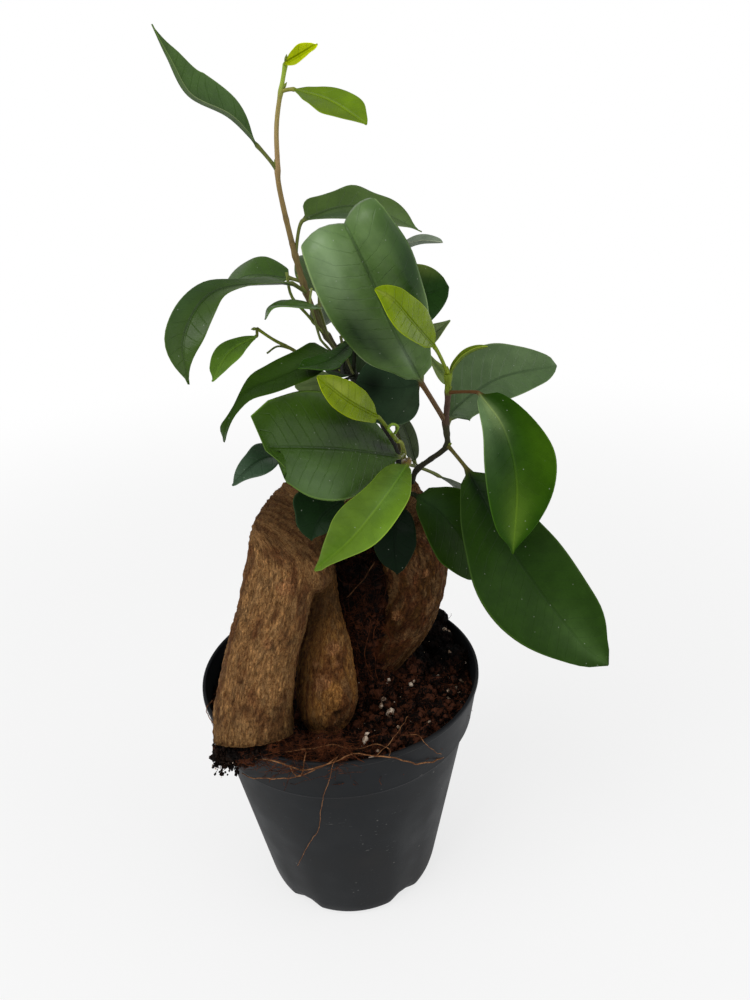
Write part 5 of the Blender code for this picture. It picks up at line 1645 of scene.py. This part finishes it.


# %% [markdown]
# ## Leaf material
# The group draws the midrib, the many fine side veins that leave it at a slant, a thin pale
# edge, faint mottling and a few dried water specks. The upper side is waxy, so it takes a low
# roughness, and the veins press into the surface a little.

# %% Leaf group and materials
def make_leaf_group():
    tree, given, out = new_group(
        "fig leaf",
        [("Tone", COLOUR, (0.05, 0.1, 0.03, 1)), ("Place", VECTOR, None), ("Shape", VECTOR, None),
         ("Rib", COLOUR, (0.6, 0.65, 0.6, 1)), ("Veins", VALUE, 0.3), ("Spacing", VALUE, 4.2),
         ("Gloss", VALUE, 0.36)],
        [("Color", COLOUR), ("Roughness", VALUE), ("Height", VALUE)])
    given = given.outputs
    place = add_node(tree, "ShaderNodeSeparateXYZ", {}, {0: given["Place"]}).outputs
    shape = add_node(tree, "ShaderNodeSeparateXYZ", {}, {0: given["Shape"]}).outputs
    across = math(tree, "ABSOLUTE", place[0])
    on_blade = ramp(tree, shape[1], 0.0, 0.04)
    cloud = noise_of(tree, given["Place"], 0.16, 3)
    fine = noise_of(tree, given["Place"], 1.6, 3, 0.6)
    midrib = math(tree, "MULTIPLY", ramp(tree, across, 0.75, 0.15), on_blade)
    midrib = math(tree, "MULTIPLY", midrib, ramp(tree, shape[1], 1.0, 0.6, 0.35, 1.0))
    slant = math(tree, "SUBTRACT", place[1], math(tree, "MULTIPLY", across, 0.7))
    slant = math(tree, "ADD", slant, math(tree, "MULTIPLY", cloud, 2.2))
    beat = math(tree, "FRACT", math(tree, "DIVIDE", slant, given["Spacing"]))
    beat = math(tree, "ABSOLUTE", math(tree, "SUBTRACT", beat, 0.5))
    side_veins = math(tree, "MULTIPLY", ramp(tree, beat, 0.07, 0.0), on_blade)
    side_veins = math(tree, "MULTIPLY", side_veins, ramp(tree, shape[0], 1.0, 0.7))
    edge = math(tree, "MULTIPLY", ramp(tree, shape[0], 0.955, 0.985), on_blade)
    dots = add_node(tree, "ShaderNodeTexVoronoi", {}, {"Vector": given["Place"], "Scale": 0.33})
    dots = math(tree, "MULTIPLY", ramp(tree, dots.outputs["Distance"], 0.075, 0.035), on_blade)
    pale = mix(tree, 1.0, given["Tone"], (1.7, 1.45, 1.4, 1), "MULTIPLY")
    dark = mix(tree, 1.0, given["Tone"], (0.8, 0.82, 0.8, 1), "MULTIPLY")
    rib = mix(tree, 1.0, given["Tone"], given["Rib"], "MULTIPLY")
    colour = mix(tree, ramp(tree, cloud, 0.35, 0.65), dark, given["Tone"])
    colour = mix(tree, ramp(tree, fine, 0.5, 0.75, 0.0, 0.12), colour, pale)
    veins = math(tree, "MAXIMUM", math(tree, "MULTIPLY", side_veins, given["Veins"]),
                 math(tree, "MULTIPLY", midrib, 0.8))
    colour = mix(tree, veins, colour, rib)
    rim = mix(tree, 1.0, given["Tone"], (2.3, 2.0, 2.0, 1), "MULTIPLY")
    colour = mix(tree, math(tree, "MULTIPLY", edge, 0.8), colour, rim)
    colour = mix(tree, math(tree, "MULTIPLY", dots, 0.5), colour, (0.42, 0.45, 0.38, 1))
    tree.links.new(colour, out.inputs["Color"])
    rough = math(tree, "ADD", given["Gloss"], ramp(tree, fine, 0.3, 0.7, -0.04, 0.08))
    rough = math(tree, "ADD", rough, math(tree, "MULTIPLY", shape[2], 0.2))
    tree.links.new(rough, out.inputs["Roughness"])
    height = math(tree, "SUBTRACT", math(tree, "MULTIPLY", fine, 0.2),
                  math(tree, "MULTIPLY", side_veins, 0.3))
    height = math(tree, "ADD", height, math(tree, "MULTIPLY", cloud, 0.9))
    tree.links.new(math(tree, "SUBTRACT", height, midrib), out.inputs["Height"])
    return tree


def leaf_material(age, rib, veins, gloss, shine, crinkle=0.45):
    material, tree, shader = new_material("leaf_" + age)
    surface(tree, shader, leaf_group, {"Tone": attribute(tree, "tone").outputs["Color"],
            "Place": attribute(tree, "leaf_place").outputs["Vector"],
            "Shape": attribute(tree, "leaf_shape").outputs["Vector"],
            "Rib": (*rib, 1), "Veins": veins, "Gloss": gloss}, crinkle, 0.0007)
    shader.inputs["Specular IOR Level"].default_value = shine
    return material


leaf_group = make_leaf_group()
leaf_materials = {"mature": leaf_material("mature", (0.5, 0.56, 0.5), 0.2, 0.32, 0.24),
                  "deep_bright": leaf_material("deep_bright", (1.5, 1.35, 1.2), 0.12, 0.36, 0.05),
                  "bright": leaf_material("bright", (1.3, 1.25, 1.15), 0.2, 0.36, 0.16),
                  "shaded": leaf_material("shaded", (0.7, 0.74, 0.7), 0.25, 0.4, 0.08),
                  "young": leaf_material("young", (0.78, 0.82, 0.74), 0.08, 0.26, 0.06, 0.8)}

# %% Make the leaves
def make_leaf(row, seed):
    shell, values = leaf_shell(row, seed)
    mesh = shell_mesh(row["name"] + "_blade", shell)
    keep_values(mesh, "tone", with_alpha(leaf_tones(row, values)))
    keep_values(mesh, "leaf_shape", values[:, :3])
    place = np.column_stack([values[:, 3], values[:, 4], np.full(len(values), 7.0 * seed)])
    keep_values(mesh, "leaf_place", place)
    slot = "leaf_mature" if row["age"] == "shaded" else "leaf_" + row["age"]
    add_piece(row["name"] + "_blade", mesh, leaf_materials[row["age"]], slot, row["name"])
    return len(mesh.polygons)


leaf_faces = sum(make_leaf(row, i + 1) for i, row in enumerate(LEAVES))
print("leaf faces:", leaf_faces)

# %% [markdown]
# ## Stem skins
# The rings on a stem come where its leaves sit, and at the regular spacing of old leaf scars
# between them.

# %% Make the stems
def ring_places(name, stem):
    """Where along a stem its nodes are, in millimetres."""
    leaves = [row["share"] * stem.length for row in LEAVES if row["stem"] == name]
    twigs = [share * stem.length for share, *_ in TWIGS.values()] if name == "leader" else []
    old = list(np.arange(6, stem.length * 0.75, 8.5))
    return leaves + twigs, old


def stem_radii(name, stem):
    run = np.linspace(0, stem.length, len(stem.route))
    nodes, old = ring_places(name, stem)
    factor = np.ones(len(run))
    for place in nodes:
        factor += 0.28 * bump(run, place, 1.6)
    for place in old:
        factor += 0.13 * bump(run, place, 0.8)
    return stem.radius * factor * (1 + 0.05 * smooth_noise(stem.route, 4, 40, 2)), run, nodes, old


def stem_tones(name, stem, run, old):
    stops = STEM_TONES[name]
    shares = [share for share, _ in stops]
    colours = np.array([linear(colour) for _, colour in stops])
    tones = np.stack([np.interp(run / stem.length, shares, channel) for channel in colours.T], 1)
    for place in old:
        tones *= (1 - 0.3 * bump(run, place + 1.1, 0.6))[:, None]
    return tones


def make_stem(name, stem, around=12):
    radii, run, nodes, old = stem_radii(name, stem)
    mesh = shell_mesh(name + "_skin", tube(stem.route, radii, around))
    tones = np.repeat(stem_tones(name, stem, run, old), around, axis=0)
    angles = np.tile(np.linspace(0, 2 * np.pi, around, endpoint=False), len(run))
    reach = np.repeat(radii, around)
    keep_values(mesh, "tone", with_alpha(tones))
    keep_values(mesh, "limb_place", np.column_stack([reach * np.cos(angles), reach * np.sin(angles),
                                                     np.repeat(run, around)]) * (2, 2, 0.7))
    add_piece(name + "_stem", mesh, stem_bark, "stem_bark", name)


stem_bark, tree, shader = new_material("stem_bark")
surface(tree, shader, bark_group, {"Tone": attribute(tree, "tone").outputs["Color"],
        "Place": attribute(tree, "limb_place").outputs["Vector"], "Marks": 0.1, "Streaks": 0.3},
        0.3, 0.0002)
for name, stem in stems.items():
    make_stem(name, stem)
print("stems:", list(stems))

# %% [markdown]
# ## Buds and thin shoots
# Small parts finish the plant: a pointed bud where leaves meet the stem, a curled stipule by the
# young centre leaf, and a few thin shoots at the leader's foot. They are drawn as short tubes,
# the buds tapered, because each is no thicker than a pencil lead.

# %% Buds and shoots
THIN_SHOOTS = [
    ([(2, -3, 256), (-3, -5, 263), (-8, -6, 270), (-9, -6, 278)], 0.55, (118, 132, 56)),
    ([(8, -2, 246), (3, -6, 256), (0, -8, 266)], 0.6, (86, 86, 44)),
    ([(12, -1, 240), (9, -8, 250), (8, -10, 256)], 0.55, (90, 96, 44)),
    ([(-9, -9, 252), (-14, -11, 254), (-18, -12, 252)], 0.35, (96, 110, 44)),
]
CURLED_STIPULE = [(24, -30, 226), (25, -32, 229), (23, -33, 230.5), (21.5, -33, 229),
                  (22.5, -33, 227.5)]


def bud(place, way, length, radius):
    way = unit(np.array(way, float))
    shares = np.linspace(0, 1, 8)
    route = np.array(place, float) + np.outer(shares * length, way)
    return tube(route, np.maximum(radius * np.sin(np.pi * (0.25 + 0.75 * shares)), 0.06), 8)


def bud_shells():
    made = []
    for row in LEAVES:
        stem = stems[row["stem"]]
        place, up = stem.at(row["share"])
        out = unit(np.array(row["midrib"][0], float) - place)
        made.append(bud(place + out * 0.6 * stem.radius[-1] + up * 0.6, up + 0.7 * out, 2.6, 0.55))
    stem = stems["right_branch"]
    made.append(bud(stem.route[-1], stem.along[-1], 3.0, 0.8))
    return made


def green_piece(name, shells, colour, slot):
    mesh = shell_mesh(name, joined(shells))
    count = len(mesh.vertices)
    keep_values(mesh, "tone", with_alpha(np.tile(linear(colour), (count, 1))))
    keep_values(mesh, "limb_place", points_of(mesh) * 3)
    add_piece(name, mesh, stem_bark, slot)


green_piece("buds", bud_shells(), (118, 134, 48), "stem_bark")
for i, (route, radius, colour) in enumerate(THIN_SHOOTS):
    green_piece(f"thin_shoot_{i + 1}", [tube(smooth_route(route, 16), radius, 8)], colour,
                "stem_bark")
green_piece("curled_stipule", [tube(smooth_route(CURLED_STIPULE, 20), 0.5, 8)], (120, 150, 40),
            "stem_bark")
